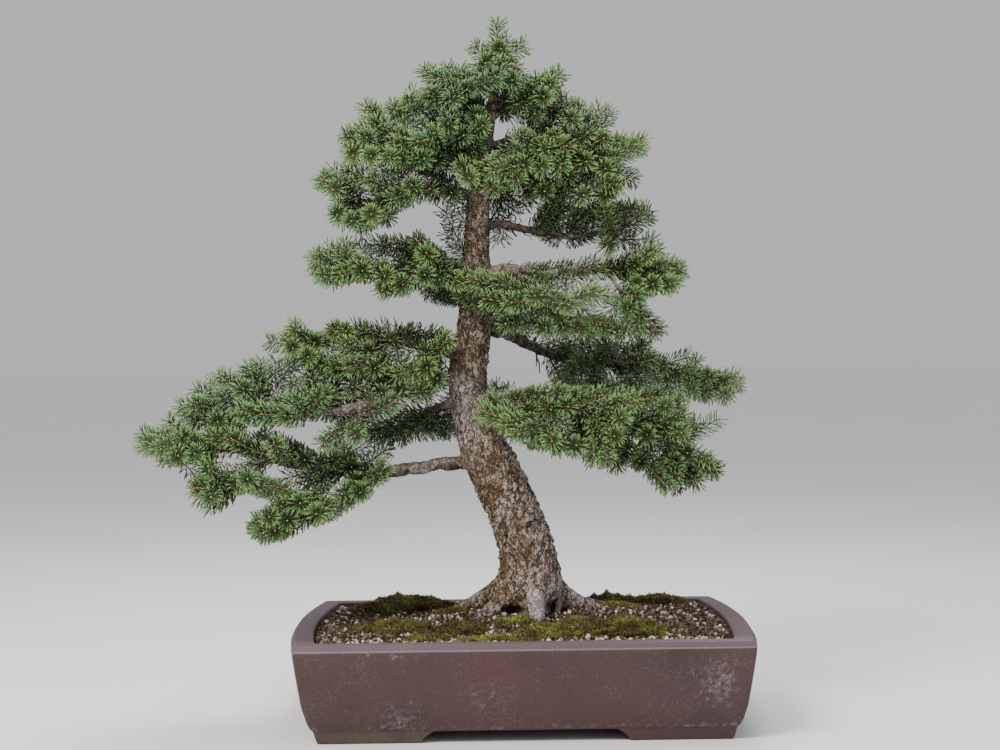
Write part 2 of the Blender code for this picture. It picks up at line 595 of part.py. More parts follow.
# Keeps the body with the most points, dropping loose scraps and the skins of tiny sealed hollows.
def keepLargestBody(obj):
    bm = bmesh.new()
    bm.from_mesh(obj.data)
    left = set(bm.verts)
    bodies = []
    while left:
        body = {left.pop()}
        front = list(body)
        while front:
            vert = front.pop()
            near = {edge.other_vert(vert) for edge in vert.link_edges} & left
            left -= near
            body |= near
            front.extend(near)
        bodies.append(body)
    bodies.sort(key=len)
    for body in bodies[:-1]:
        bmesh.ops.delete(bm, geom=list(body), context="VERTS")
    bm.to_mesh(obj.data)
    bm.free()


# Draws one shoot that stays clear of the others, moving its tip a little where its core would cross one.
def fitShoot(fork, heading, end, radii, first, others):
    for attempt in range(FIT_TRIES):
        shift = Vector([random.uniform(-1, 1) for axis in range(3)]) * (FIT_SHIFT * attempt)
        tip = end + shift
        tip -= (tip - fork).normalized() * STAR_REACH
        reach = (tip - fork).length
        if heading:
            control = fork + heading * (0.5 * reach)
        else:
            control = (fork + tip) * 0.5 - Vector((0, 0, SHOOT_SAG * reach))
        shoot, roots = makeShoot(fork, control, tip, radii, first)
        if drawClear(shoot, roots, others):
            return shoot, control, tip
        shoot.free()
    return None, None, None


def makeSpray(name, spray, material, others):
    random.seed(name)
    heading, begin = sprayStart(spray)
    start = begin + heading * GAP
    main, control, tip = fitShoot(start, heading, Vector(spray[1]), CORE_RADII, FIRST_WHORL, others)
    shoots = [main]
    for k, end in enumerate(spray[2:]):
        fork = curvePoint(start, control, tip, SIDE_START + SIDE_STEP * k)
        side = fitShoot(fork, None, Vector(end), SIDE_RADII, FIRST_WHORL - 2.0, others)[0]
        if side:
            shoots.append(side)
        else:
            print("side shoot left out:", name, k)
    objects = [addObject(bm, name if k == 0 else "side", material) for k, bm in enumerate(shoots)]
    if len(objects) > 1:
        applyBoolean(objects[0], objects[1:], "UNION", "MANIFOLD")
        keepLargestBody(objects[0])
    return objects[0]


def centreOnOrigin():
    xs = []
    ys = []
    for obj in bpy.context.scene.collection.objects:
        xs += [vert.co.x for vert in obj.data.vertices]
        ys += [vert.co.y for vert in obj.data.vertices]
    shift = Matrix.Translation((-0.5 * (min(xs) + max(xs)), -0.5 * (min(ys) + max(ys)), 0.0))
    print("shift in mm:", shift.translation * (1.0 / MM))
    for obj in bpy.context.scene.collection.objects:
        obj.data.transform(shift)


def build():
    clearScene()
    clay = makeMaterial("unglazed stoneware", (0.115, 0.062, 0.058), 0.6)
    plastic = makeMaterial("black plastic mesh", (0.02, 0.02, 0.02), 0.5)
    grit = makeMaterial("gritty soil", (0.24, 0.19, 0.13), 0.95)
    cushion = makeMaterial("moss", (0.12, 0.14, 0.03), 0.95)
    bark = makeMaterial("spruce bark", (0.23, 0.18, 0.14), 0.9)
    needles = makeMaterial("spruce needles", (0.07, 0.16, 0.075), 0.6)
    makePot(clay)
    makeDrainMeshes(plastic)
    pockets = [makeMoss(name, cushion, GAP) for name in MOSS]
    low = FLOOR_LEVEL - 1.0
    pockets += [makeBox("pocket", x, 0.0, MESH_HALF + GAP, low, FLOOR_LEVEL + MESH_THICK + 2 * GAP, plastic)
                for x in (-DRAIN_X, DRAIN_X)]
    makeSoil(grit, pockets + makeWoodHoles(bark))
    for name in MOSS:
        makeMoss(name, cushion, 0.0)
    wood = makeWood(bark)
    others = [treeOf(wood)]
    for name, spray in SPRAYS.items():
        others.append(treeOf(makeSpray(name, spray, needles, others)))
    centreOnOrigin()


build()
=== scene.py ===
import math

import bmesh
import bpy
import numpy as np
from mathutils import Matrix, Vector, noise
from mathutils.bvhtree import BVHTree
from mathutils.kdtree import KDTree


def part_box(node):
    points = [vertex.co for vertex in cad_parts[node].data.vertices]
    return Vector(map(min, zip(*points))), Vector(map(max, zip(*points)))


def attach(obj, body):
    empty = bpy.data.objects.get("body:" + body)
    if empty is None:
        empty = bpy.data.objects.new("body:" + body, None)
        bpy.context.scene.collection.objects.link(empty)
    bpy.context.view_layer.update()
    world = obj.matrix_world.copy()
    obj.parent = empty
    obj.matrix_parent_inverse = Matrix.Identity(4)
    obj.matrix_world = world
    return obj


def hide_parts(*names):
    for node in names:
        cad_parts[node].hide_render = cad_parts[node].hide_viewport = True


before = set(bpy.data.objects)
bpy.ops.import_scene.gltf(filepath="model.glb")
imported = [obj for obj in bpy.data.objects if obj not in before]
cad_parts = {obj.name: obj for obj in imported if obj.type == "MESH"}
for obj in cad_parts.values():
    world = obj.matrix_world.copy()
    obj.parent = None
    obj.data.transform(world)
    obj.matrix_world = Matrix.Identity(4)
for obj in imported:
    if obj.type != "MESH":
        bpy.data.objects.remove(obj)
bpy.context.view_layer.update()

# Spruce bonsai in a shallow rectangular tray of unglazed stoneware.
# Places are in millimetres from the middle of the pot, with its feet on Z = 0, and setPlaces carries them
# into the frame in metres.

potLow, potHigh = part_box("pot")
potMiddle = np.array([(potLow.x + potHigh.x) * 500, (potLow.y + potHigh.y) * 500, 0.0])
noise.seed_set(5)     # noise_vector draws its offsets from the clock unless it is seeded


def hexToLinear(code):
    values = [int(code[k:k + 2], 16) / 255 for k in (1, 3, 5)]
    return tuple(v / 12.92 if v <= 0.04045 else ((v + 0.055) / 1.055) ** 2.4 for v in values) + (1.0,)


def perMm(size):  # texture scale that repeats every so many millimetres
    return 1000.0 / size


# Gives a node's inputs a value, a hex colour, a socket, or another node's first output.
def feed(tree, node, inputs):
    for key, value in inputs.items():
        sockets = [s for k, s in enumerate(node.inputs) if key == k or (s.name == key and s.enabled)]
        if isinstance(value, bpy.types.Node):
            value = next(s for s in value.outputs if s.enabled)
        if isinstance(value, bpy.types.NodeSocket):
            tree.links.new(value, sockets[0])
        else:
            sockets[0].default_value = hexToLinear(value) if isinstance(value, str) else value


# Adds a node: "stops" are a ramp's, a key that names one of its properties is a setting, and the rest are inputs.
def addNode(tree, kind, values=None):
    node = tree.nodes.new("ShaderNode" + kind)
    inputs = {}
    for key, value in (values or {}).items():
        if key == "stops":
            ramp = node.color_ramp
            while len(ramp.elements) < len(value):
                ramp.elements.new(1.0)
            for element, (place, colour) in zip(ramp.elements, value):
                element.position = place
                element.color = hexToLinear(colour) if isinstance(colour, str) else (colour, colour, colour, 1.0)
        elif isinstance(key, str) and hasattr(node, key):
            setattr(node, key, value)
        else:
            inputs[key] = value
    feed(tree, node, inputs)
    return node


def newMaterial(name, roughness, ior, specular=0.5):
    material = bpy.data.materials.new(name)
    material.use_nodes = True
    tree = material.node_tree
    shader = tree.nodes["Principled BSDF"]
    feed(tree, shader, {"Roughness": roughness, "IOR": ior, "Specular IOR Level": specular})
    return material, tree, shader, addNode(tree, "TexCoord").outputs["Object"]


def setPlaces(mesh, places):  # from millimetres round the pot's middle into the frame
    mesh.vertices.foreach_set("co", ((places + potMiddle) * 0.001).astype(np.float32).ravel())


def placesOf(mesh):  # the way back
    places = np.empty(len(mesh.vertices) * 3, np.float32)
    mesh.vertices.foreach_get("co", places)
    return places.reshape(-1, 3) * 1000 - potMiddle


def normalsOf(mesh):
    normals = np.empty(len(mesh.vertices) * 3, np.float32)
    mesh.vertex_normals.foreach_get("vector", normals)
    return normals.reshape(-1, 3)


def addMarks(mesh, marks):  # one float per point, which the materials read
    for key, values in marks.items():
        mesh.attributes.new(key, "FLOAT", "POINT").data.foreach_set("value", np.asarray(values, np.float32))


# Makes a piece from points in millimetres and arrays of faces, with marks for the material.
def meshPiece(name, points, faces, material, smooth=True, marks=None):
    mesh = bpy.data.meshes.new(name)
    corners = np.concatenate([np.asarray(f).ravel() for f in faces]).astype(np.int32)
    sizes = np.concatenate([np.full(len(f), f.shape[1]) for f in faces])
    mesh.vertices.add(len(points))
    setPlaces(mesh, np.asarray(points, float))
    mesh.loops.add(len(corners))
    mesh.polygons.add(len(sizes))
    mesh.polygons.foreach_set("loop_start", np.concatenate([[0], np.cumsum(sizes)[:-1]]).astype(np.int32))
    mesh.polygons.foreach_set("vertices", corners)
    mesh.polygons.foreach_set("use_smooth", np.full(len(sizes), smooth))
    mesh.update(calc_edges=True)
    addMarks(mesh, marks or {})
    obj = bpy.data.objects.new(name, mesh)
    bpy.context.scene.collection.objects.link(obj)
    mesh.materials.append(material)
    return obj


def dress(obj, slot, *nodes):
    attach(obj, "root")
    if nodes:
        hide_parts(*nodes)


def unit(vectors):
    return vectors / np.maximum(np.linalg.norm(vectors, axis=-1, keepdims=True), 1e-9)


def smoothStep(low, high, value):
    t = np.clip((value - low) / (high - low), 0.0, 1.0)
    return t * t * (3 - 2 * t)


# Passes a smooth curve through points (X, Y, Z, radius) with a new point about every step.
def smoothPath(points, step):
    ends = np.array([points[0], *points, points[-1]], float)
    path = []
    for a, b, c, d in zip(ends, ends[1:], ends[2:], ends[3:]):
        count = max(1, round(float(np.linalg.norm(c[:3] - b[:3])) / step))
        for t in np.arange(count) / count:
            path.append(0.5 * (2 * b + (c - a) * t + (2 * a - 5 * b + 4 * c - d) * t * t
                               + (3 * b - a - 3 * c + d) * t ** 3))
    path.append(ends[-1])
    return np.array(path)


def applyModifiers(obj):
    graph = bpy.context.evaluated_depsgraph_get()
    mesh = bpy.data.meshes.new_from_object(obj.evaluated_get(graph))
    obj.modifiers.clear()
    obj.data = mesh


# The points and triangles of a ball of radius 1, made by one of Blender's own ball makers.
def ballPoints(make, **sizes):
    bm = bmesh.new()
    make(bm, radius=1.0, **sizes)
    bmesh.ops.triangulate(bm, faces=bm.faces)
    bm.verts.index_update()
    points = np.array([vert.co for vert in bm.verts])
    faces = np.array([[vert.index for vert in face.verts] for face in bm.faces])
    bm.free()
    return points, faces


def ringQuads(count, rings):  # the quads between rings of so many points each
    k = np.arange(count)
    n = (k + 1) % count
    return np.concatenate([np.stack([r * count + k, r * count + n, (r + 1) * count + n, (r + 1) * count + k], 1)
                           for r in range(rings - 1)])


# A closed tube along a path (n, 4) of X, Y, Z and radius: its points, its quads and its end triangles.
def tube(path, sides):
    centres, radii = path[:, :3], path[:, 3]
    along = unit(np.gradient(centres, axis=0))
    across = np.cross(along[0], (0.0, 0.0, 1.0) if abs(along[0][2]) < 0.9 else (0.0, 1.0, 0.0))
    rings = []
    turns = np.arange(sides) * 2 * math.pi / sides
    for centre, direction, radius in zip(centres, along, radii):
        across = unit(across - direction * np.dot(across, direction))
        up = np.cross(direction, across)
        rings.append(centre + radius * (np.outer(np.cos(turns), across) + np.outer(np.sin(turns), up)))
    points = np.concatenate([*rings, centres[:1], centres[-1:]])
    k = np.arange(sides)
    n = (k + 1) % sides
    last = (len(rings) - 1) * sides
    caps = np.concatenate([np.stack([n, k, np.full(sides, last + sides)], 1),
                           np.stack([last + k, last + n, np.full(sides, last + sides + 1)], 1)])
    return points, ringQuads(sides, len(rings)), caps


# Joins several (points, quads, triangles, mark arrays) into one set.
def joined(parts):
    start = 0
    points, quads, tris = [], [], []
    marks = {key: [] for key in parts[0][3]}
    for partPoints, partQuads, partTris, partMarks in parts:
        points.append(partPoints)
        if len(partQuads):
            quads.append(partQuads + start)
        if len(partTris):
            tris.append(partTris + start)
        for key, values in partMarks.items():
            marks[key].append(np.broadcast_to(values, len(partPoints)))
        start += len(partPoints)
    faces = [np.concatenate(found) for found in (quads, tris) if found]
    return np.concatenate(points), faces, {key: np.concatenate(values) for key, values in marks.items()}


# Unglazed stoneware, reduction-fired and wiped smooth: a dry satin skin, iron-brown with a painted lilac sheen
# where light rakes the faces that look up, a painted highlight on the chamfer's lower edge, pale mineral specks
# and chalky lime bloom low on the walls.
def stoneware():
    material, tree, shader, where = newMaterial("unglazed stoneware", 0.55, 1.5, 0.45)
    lime, wear, algae = (addNode(tree, "Attribute", {"attribute_name": name}).outputs["Fac"]
                         for name in ("lime", "wear", "algae"))
    cloud = addNode(tree, "TexNoise", {"Vector": where, "Scale": perMm(70), "Detail": 5.0, "Roughness": 0.6})
    colour = addNode(tree, "ValToRGB", {"Fac": cloud, "stops": [(0.34, "#3c2a29"), (0.46, "#443030"),
                                                                (0.56, "#493130"), (0.68, "#4b312f")]})
    mottle = addNode(tree, "TexNoise", {"Vector": where, "Scale": perMm(9), "Detail": 6.0, "Roughness": 0.7})
    shade = addNode(tree, "ValToRGB", {"Fac": mottle, "stops": [(0.3, "#8f8886"), (0.7, "#bdb4b4")]})
    # painted sheen: the faces that look up, as on the rim, are toned lilac, lighter along the front where light
    # rakes them
    normal = addNode(tree, "SeparateXYZ", {"Vector": addNode(tree, "NewGeometry").outputs["Normal"]})
    upward = addNode(tree, "MapRange", {"Value": normal.outputs["Z"], "From Min": 0.25, "From Max": 0.8})
    depth = addNode(tree, "SeparateXYZ", {"Vector": where})
    forward = addNode(tree, "MapRange", {"Value": depth.outputs["Y"], "From Min": -0.14, "From Max": -0.158})
    rimSheen = addNode(tree, "Mix", {"data_type": "RGBA", "Factor": forward, "A": "#544248", "B": "#68565f"})
    # pale specks, about 2 mm apart, and finer dust, both gathered in patches
    specks = addNode(tree, "TexVoronoi", {"Vector": where, "Scale": perMm(2.1), "Randomness": 1.0})
    dots = addNode(tree, "ValToRGB", {"Fac": specks, "stops": [(0.1, 1.0), (0.24, 0.0)]})
    powder = addNode(tree, "TexNoise", {"Vector": where, "Scale": perMm(1.7), "Detail": 3.0})
    dust = addNode(tree, "ValToRGB", {"Fac": powder, "stops": [(0.57, 0.0), (0.74, 0.5)]})
    patches = addNode(tree, "TexNoise", {"Vector": where, "Scale": perMm(30), "Detail": 4.0})
    gather = addNode(tree, "ValToRGB", {"Fac": patches, "stops": [(0.43, 0.08), (0.66, 0.62)]})
    dotted = addNode(tree, "Math", {"operation": "MAXIMUM", 0: dots, 1: dust})
    speckle = addNode(tree, "Math", {"operation": "MULTIPLY", 0: dotted, 1: gather})
    # lime bloom: chalky drifts, kept to the marked places by the mesh's own mark
    drift = addNode(tree, "TexNoise", {"Vector": where, "Scale": perMm(6), "Detail": 8.0, "Roughness": 0.75})
    limed = addNode(tree, "Math", {"operation": "MULTIPLY_ADD", 0: lime, 1: 0.3, 2: drift})
    chalk = addNode(tree, "ValToRGB", {"Fac": limed, "stops": [(0.62, 0.0), (0.8, 0.6)]})
    uneven = addNode(tree, "MapRange", {"Value": patches, "From Min": 0.35, "From Max": 0.65, "To Min": 0.25})
    slime = addNode(tree, "Math", {"operation": "MULTIPLY", 0: algae, 1: uneven})
    for factor, blend, tone in (
            (0.35, "OVERLAY", shade), (upward, "MIX", rimSheen), (speckle, "MIX", "#8d7f80"),
            (chalk, "MIX", "#8f8685"),
            (wear, "MIX", "#94858c"),       # painted highlight: the lower edge of the chamfer is made pale
            (slime, "MIX", "#4c4a39")):     # algae on one foot
        colour = addNode(tree, "Mix", {"data_type": "RGBA", "blend_type": blend, "Factor": factor,
                                       "A": colour, "B": tone})
    dry = addNode(tree, "MapRange", {"Value": mottle, "To Min": 0.46, "To Max": 0.68})
    grain = addNode(tree, "TexNoise", {"Vector": where, "Scale": perMm(1.6), "Detail": 4.0})
    bump = addNode(tree, "Bump", {"Strength": 0.25, "Distance": 0.0004, "Height": grain})
    feed(tree, shader, {"Base Color": colour, "Roughness": dry, "Normal": bump})
    return material


potSizes = {
    "halfX": 225.0, "halfY": 166.0, "outerBow": 14.0, "innerBow": 11.0,     # mm
    # (inset, height) from the foot's top up the outside, then over the rim and down the inside
    "outer": [(17.5, 12.0), (17.0, 13.2), (15.6, 14.3), (15.0, 15.2), (12.1, 21.0), (8.0, 35.0), (4.9, 54.0),
              (1.7, 75.0), (0.1, 88.5), (0.0, 91.8), (0.2, 92.5), (0.6, 93.2), (1.1, 94.0), (3.5, 97.9),
              (4.1, 98.6), (5.1, 99.0)],
    "inner": [(12.0, 99.0), (18.4, 98.9), (19.5, 98.4), (20.3, 97.2), (20.8, 62.0), (21.8, 28.0), (25.0, 24.0)],
    "cornerRound": 2.6, "sidePoints": 44, "endPoints": 26,
    "armX": 118.0, "armY": 86.0, "footWidth": 25.0, "footInset": 17.6, "sweep": 13.0, "batter": 3.2,
    "footHeights": (13.4, 12.6, 11.4, 10.0, 8.0, 5.6, 3.2, 1.2, 0.25, 0.0), "footUnder": 12.0, "footRound": 2.2,
    "drainX": 105.0, "drainRadius": 12.5,
    "waves": ((0.016, 0.35), (0.06, 0.12)),      # how often per mm and how far in mm the wall wanders
    "softAngle": 38.0,                           # degrees up to which an edge is shaded smooth
    # lime along the bottom step, and its drifts on the front: X, Z, half width, half height, strength
    "stepLime": (15.0, 3.0, 0.35),
    "limeDrifts": [(-121, 27, 17, 9, 0.95), (-40, 46, 20, 12, 0.55), (188, 55, 22, 30, 0.6),
                   (-134, 88, 30, 6, 0.5)],
    "algae": (13.0, -60.0, 0.75),                # below this height, left of this X, strength
    "wear": (92.9, 0.6, 0.6),                    # height, half width and strength of the painted highlight on the chamfer's lower edge
}


def potOutline(inset, bow):
    s = potSizes
    x, y = s["halfX"] - inset, s["halfY"] - inset
    v = np.linspace(-1, 1, s["endPoints"] + 1)
    cut = s["cornerRound"] / y
    ends = np.clip(v, -1 + cut, 1 - cut)
    right = np.stack([x + bow * (1 - ends ** 2), ends * y], 1)
    corner = np.array([x, y])
    sideStart = np.array([x - s["cornerRound"], y])
    arc = np.array([right[-1] * (1 - t) ** 2 + corner * 2 * t * (1 - t) + sideStart * t * t
                    for t in (0.25, 0.5, 0.75)])
    across = np.linspace(sideStart[0], -sideStart[0], s["sidePoints"] + 1)
    top = np.stack([across, np.full(s["sidePoints"] + 1, y)], 1)
    halfRound = np.concatenate([right[1:], arc, top, arc[::-1] * (-1, 1)])
    return np.concatenate([halfRound, -halfRound])


def cap(obj):  # closes the open ends of a loft and turns all faces outwards
    bm = bmesh.new()
    bm.from_mesh(obj.data)
    bmesh.ops.holes_fill(bm, edges=[edge for edge in bm.edges if edge.is_boundary])
    bmesh.ops.recalc_face_normals(bm, faces=bm.faces)
    bm.to_mesh(obj.data)
    bm.free()


def loft(name, rings, material):
    obj = meshPiece(name, np.concatenate(rings), [ringQuads(len(rings[0]), len(rings))], material)
    cap(obj)
    return obj


def carve(obj, tool, operation):
    modifier = obj.modifiers.new("carve", "BOOLEAN")
    modifier.operation = operation
    modifier.solver = "EXACT"
    modifier.object = tool
    applyModifiers(obj)
    bpy.data.objects.remove(tool)


def footRings(signX, signY):  # an L-shaped corner foot, from inside the pot down to the ground
    s = potSizes
    outX, outY = s["halfX"] - s["footInset"], s["halfY"] - s["footInset"]
    backX, backY = outX - s["footWidth"], outY - s["footWidth"]
    rings = []
    for height in s["footHeights"]:
        below = max(0.0, 1.0 - height / s["footUnder"])
        shorter = s["sweep"] * (1 - (1 - below) ** 1.7) if height < s["footUnder"] else 0.0
        soft = 0.9 if height < 0.1 else (0.25 if height < 0.5 else 0.0)     # the worn lower edge
        inset = s["footInset"] + s["batter"] * below ** 1.3 + soft
        x, y = s["halfX"] - inset, s["halfY"] - inset
        endX, endY = outX - s["armX"] + shorter + soft, outY - s["armY"] + shorter + soft
        corner = [(x - s["footRound"], y), (x - 0.6, y - 0.6), (x, y - s["footRound"]), (x, endY), (backX, endY),
                  (backX, backY), (endX, backY), (endX, y)]
        rings.append([(signX * px, signY * py, height) for px, py in corner])
    return rings


def buildPot(clay):
    s = potSizes
    rings = [np.insert(potOutline(inset, s[side + "Bow"]), 2, height, axis=1)
             for side in ("outer", "inner") for inset, height in s[side]]
    pot = loft("stoneware_pot", rings, clay)
    for signX, signY in ((-1, -1), (-1, 1), (1, -1), (1, 1)):
        carve(pot, loft("foot", footRings(signX, signY), clay), "UNION")
    for x in (-s["drainX"], s["drainX"]):
        path = np.array([(x, 0, 5, s["drainRadius"]), (x, 0, 30, s["drainRadius"])], float)
        points, quads, tris = tube(path, 32)
        drain = meshPiece("drain", points, [quads, tris], clay)
        cap(drain)
        carve(pot, drain, "DIFFERENCE")
    mesh = pot.data
    places = placesOf(mesh)
    (often, far), (oftenFine, farFine) = s["waves"]
    for place in places:  # a hand-pressed wall is never quite flat
        spot = Vector(place)
        wave = noise.noise_vector(spot * often) * far + noise.noise_vector(spot * oftenFine) * farFine
        place += np.array(wave) * (1.0, 1.0, 0.5 if place[2] > 2 else 0.0)
    setPlaces(mesh, places)
    x, y, z = places.T
    drifts = sum(strength * np.exp(-((x - x0) / wide) ** 2 - ((z - z0) / tall) ** 2)
                 for x0, z0, wide, tall, strength in s["limeDrifts"])
    stepHeight, stepWide, stepLime = s["stepLime"]
    lime = stepLime * np.exp(-((z - stepHeight) / stepWide) ** 2)
    lime = lime + np.where(y < 0, drifts, np.roll(drifts, 7) * 0.5)
    outside = (np.abs(y) > s["halfY"] - 4) | (np.abs(x) > s["halfX"] - 6)
    # the pale line under the rim is a painted highlight, marked on the outside round the chamfer's lower edge
    highlightHeight, highlightWidth, highlightStrength = s["wear"]
    greenBelow, greenLeft, green = s["algae"]
    addMarks(mesh, {"lime": lime, "algae": np.where((z < greenBelow) & (x < greenLeft), green, 0.0),
                    "wear": highlightStrength * np.exp(-((z - highlightHeight) / highlightWidth) ** 2) * outside})
    mesh.polygons.foreach_set("use_smooth", np.full(len(mesh.polygons), True))
    mesh.set_sharp_from_angle(angle=math.radians(s["softAngle"]))
    dress(pot, "stoneware", "pot")


clay = stoneware()
buildPot(clay)
print("pot made")


# Spruce bark, grown and weathered: papery scales of 3 to 6 mm, grey-tan, with painted shade that browns the
# undersides of young limbs, greys the trunk under the foliage and darkens hollows and the undersides of flakes,
# split by thin dark wrinkles that wander along the stem, with a chalky lichen film in patches and an olive one
# where it is damp.
def spruceBark():
    material, tree, shader, where = newMaterial("weathered spruce bark", 0.9, 1.45, 0.2)
    young, plate, bare, crack = (addNode(tree, "Attribute", {"attribute_name": name}).outputs["Fac"]
                                 for name in ("young", "plate", "bare", "crack"))
    # the wrinkles run along the stem, so the pattern is squeezed in Z
    upright = addNode(tree, "Mapping", {"Vector": where, "Scale": (1.0, 1.0, 0.55)})
    push = addNode(tree, "TexNoise", {"Vector": where, "Scale": perMm(7), "Detail": 3.0})
    pushed = addNode(tree, "VectorMath", {"operation": "MULTIPLY_ADD", 0: push.outputs["Color"],
                                          1: (0.007, 0.007, 0.007), 2: upright})
    scales = addNode(tree, "TexVoronoi", {"Vector": pushed, "Scale": perMm(5.0)})
    tone = addNode(tree, "SeparateColor", {"Color": scales.outputs["Color"]})
    broad = addNode(tree, "TexNoise", {"Vector": where, "Scale": perMm(17), "Detail": 6.0, "Roughness": 0.7})
    colour = addNode(tree, "ValToRGB", {"Fac": broad, "stops": [(0.32, "#b2a08e"), (0.45, "#cbbbab"),
                                                                (0.58, "#e0d4c9"), (0.72, "#eae3dd")]})
    flaky = addNode(tree, "ValToRGB", {"Fac": tone.outputs["Red"],
                                       "stops": [(0.0, "#b9b1aa"), (0.5, "#dfd9d3"), (1.0, "#ffffff")]})
    plated = addNode(tree, "ValToRGB", {"Fac": plate,
                                        "stops": [(0.0, "#b9aea3"), (0.5, "#e4ddd6"), (1.0, "#ffffff")]})
    crust = addNode(tree, "TexNoise", {"Vector": where, "Scale": perMm(34), "Detail": 7.0, "Roughness": 0.7})
    lichen = addNode(tree, "ValToRGB", {"Fac": crust, "stops": [(0.46, 0.0), (0.6, 0.6)]})
    moist = addNode(tree, "TexNoise", {"Vector": where, "Scale": perMm(55), "Detail": 4.0})
    olive = addNode(tree, "ValToRGB", {"Fac": moist, "stops": [(0.5, 0.0), (0.68, 0.45)]})
    scars = addNode(tree, "TexVoronoi", {"Vector": pushed, "Scale": perMm(9.0)})
    scarred = addNode(tree, "ValToRGB", {"Fac": scars, "stops": [(0.2, 0.85), (0.34, 0.0)]})
    fine = addNode(tree, "TexNoise", {"Vector": where, "Scale": perMm(2.2), "Detail": 8.0, "Roughness": 0.75})
    speck = addNode(tree, "ValToRGB", {"Fac": fine, "stops": [(0.34, "#544c46"), (0.6, "#d4cdc7")]})
    # masks by the way a spot faces and by its place, each from none to its most between two values
    facing = addNode(tree, "SeparateXYZ", {"Vector": addNode(tree, "NewGeometry").outputs["Normal"]}).outputs
    spot = addNode(tree, "SeparateXYZ", {"Vector": where}).outputs
    shady, sunny, belly, foliageShade, rise, fall, left = (
        addNode(tree, "MapRange", {"Value": value, "From Min": none, "From Max": full, "To Max": most})
        for value, none, full, most in (
            (facing["X"], 0.15, -0.9, 0.8), (facing["X"], 0.1, 0.9, 0.5), (facing["Z"], 0.45, -0.4, 0.9),
            (spot["Z"], 0.26, 0.42, 1.0), (spot["Z"], 0.26, 0.295, 0.65), (spot["Z"], 0.375, 0.34, 1.0),
            (spot["X"], 0.04, 0.012, 1.0)))
    band = addNode(tree, "Math", {"operation": "MULTIPLY", 0: rise, 1: fall})
    ashen, undersideShade, scar, chalk = (addNode(tree, "Math", {"operation": "MULTIPLY", 0: a, 1: b})
                                 for a, b in ((young, 0.75), (belly, young), (scarred, young), (band, left)))
    # wrinkles: a thin line wherever a wandering field crosses its middle, long ones and short ones
    lines = []
    for size, width, depth in ((12.0, 0.032, 0.95), (5.6, 0.048, 0.8)):
        field = addNode(tree, "TexNoise", {"Vector": pushed, "Scale": perMm(size), "Detail": 2.0})
        offset = addNode(tree, "Math", {"operation": "SUBTRACT", 0: field, 1: 0.5})
        apart = addNode(tree, "Math", {"operation": "ABSOLUTE", 0: offset})
        lines.append(addNode(tree, "ValToRGB", {"Fac": apart, "stops": [(0.3 * width, depth), (width, 0.0)]}))
    wrinkle = addNode(tree, "Math", {"operation": "MAXIMUM", 0: lines[0], 1: lines[1]})
    smoother = addNode(tree, "Math", {"operation": "MAXIMUM", 0: young, 1: bare})
    shallow = addNode(tree, "MapRange", {"Value": smoother, "To Min": 1.0, "To Max": 0.6})
    wrinkled = addNode(tree, "Math", {"operation": "MULTIPLY", 0: wrinkle, 1: shallow})
    for factor, blend, tint in (
            (0.8, "MULTIPLY", flaky), (0.5, "MULTIPLY", plated), (olive, "MIX", "#82795a"),
            (shady, "MULTIPLY", "#d3bd92"),     # ochre and darker on the faces that turn to the left of the trunk
            (sunny, "MIX", "#d0c8cc"),          # lilac grey on the faces that turn to its right
            (foliageShade, "MULTIPLY", "#dcddcf"),     # painted shade: higher up, under the foliage, the trunk is darkened and greyed
            (ashen, "MIX", "#968c85"),          # young limbs are smoother and ash grey,
            (undersideShade, "MIX", "#4c3e32"),          # painted shade makes them brown beneath,
            (lichen, "MIX", "#d4cfcd"),
            (scar, "MIX", "#3f352d"),           # and dark where twigs were cut
            (chalk, "MIX", "#d9d3d3"),          # a chalky reach between the two lowest limbs
            (bare, "MIX", "#dcd3d7"),           # the front root is scuffed to a pale lilac grey
            (0.72, "OVERLAY", speck), (wrinkled, "MIX", "#4a3c30"), (crack, "MIX", "#43352b")):
        colour = addNode(tree, "Mix", {"data_type": "RGBA", "blend_type": blend, "Factor": factor,
                                       "A": colour, "B": tint})
    level = addNode(tree, "Math", {"operation": "MULTIPLY_ADD", 0: fine, 1: 0.9, 2: tone.outputs["Green"]})
    stepped = addNode(tree, "Math", {"operation": "SUBTRACT", 0: level, 1: wrinkled})
    bump = addNode(tree, "Bump", {"Strength": 1.0, "Distance": 0.0022, "Height": stepped})
    feed(tree, shader, {"Base Color": colour, "Normal": bump})
    return material


trunkLine = [(8, 25, 66, 27), (9, 26, 94, 31), (10, 26, 110, 34), (10, 25, 126, 36), (10, 25, 140, 34.5),
             (9, 25, 156, 31), (6, 24, 174, 29.5), (0, 23, 196, 28), (-8, 22, 216, 27), (-19, 21, 240, 27),
             (-30, 20, 262, 26.5), (-40, 19, 286, 24.5), (-48, 18, 310, 22), (-52, 16, 334, 20.8),
             (-54, 15, 356, 20.6), (-51, 14, 383, 19.6), (-46, 12, 411, 18.2), (-45, 11, 436, 17),
             (-43, 10, 465, 15.4), (-43, 8, 491, 13.8), (-41, 6, 534, 12.6), (-38, 4, 565, 11),
             (-34, 2, 597, 8.8), (-29, 0, 624, 7.2), (-24, 0, 648, 5.4), (-20, 0, 666, 3.2)]

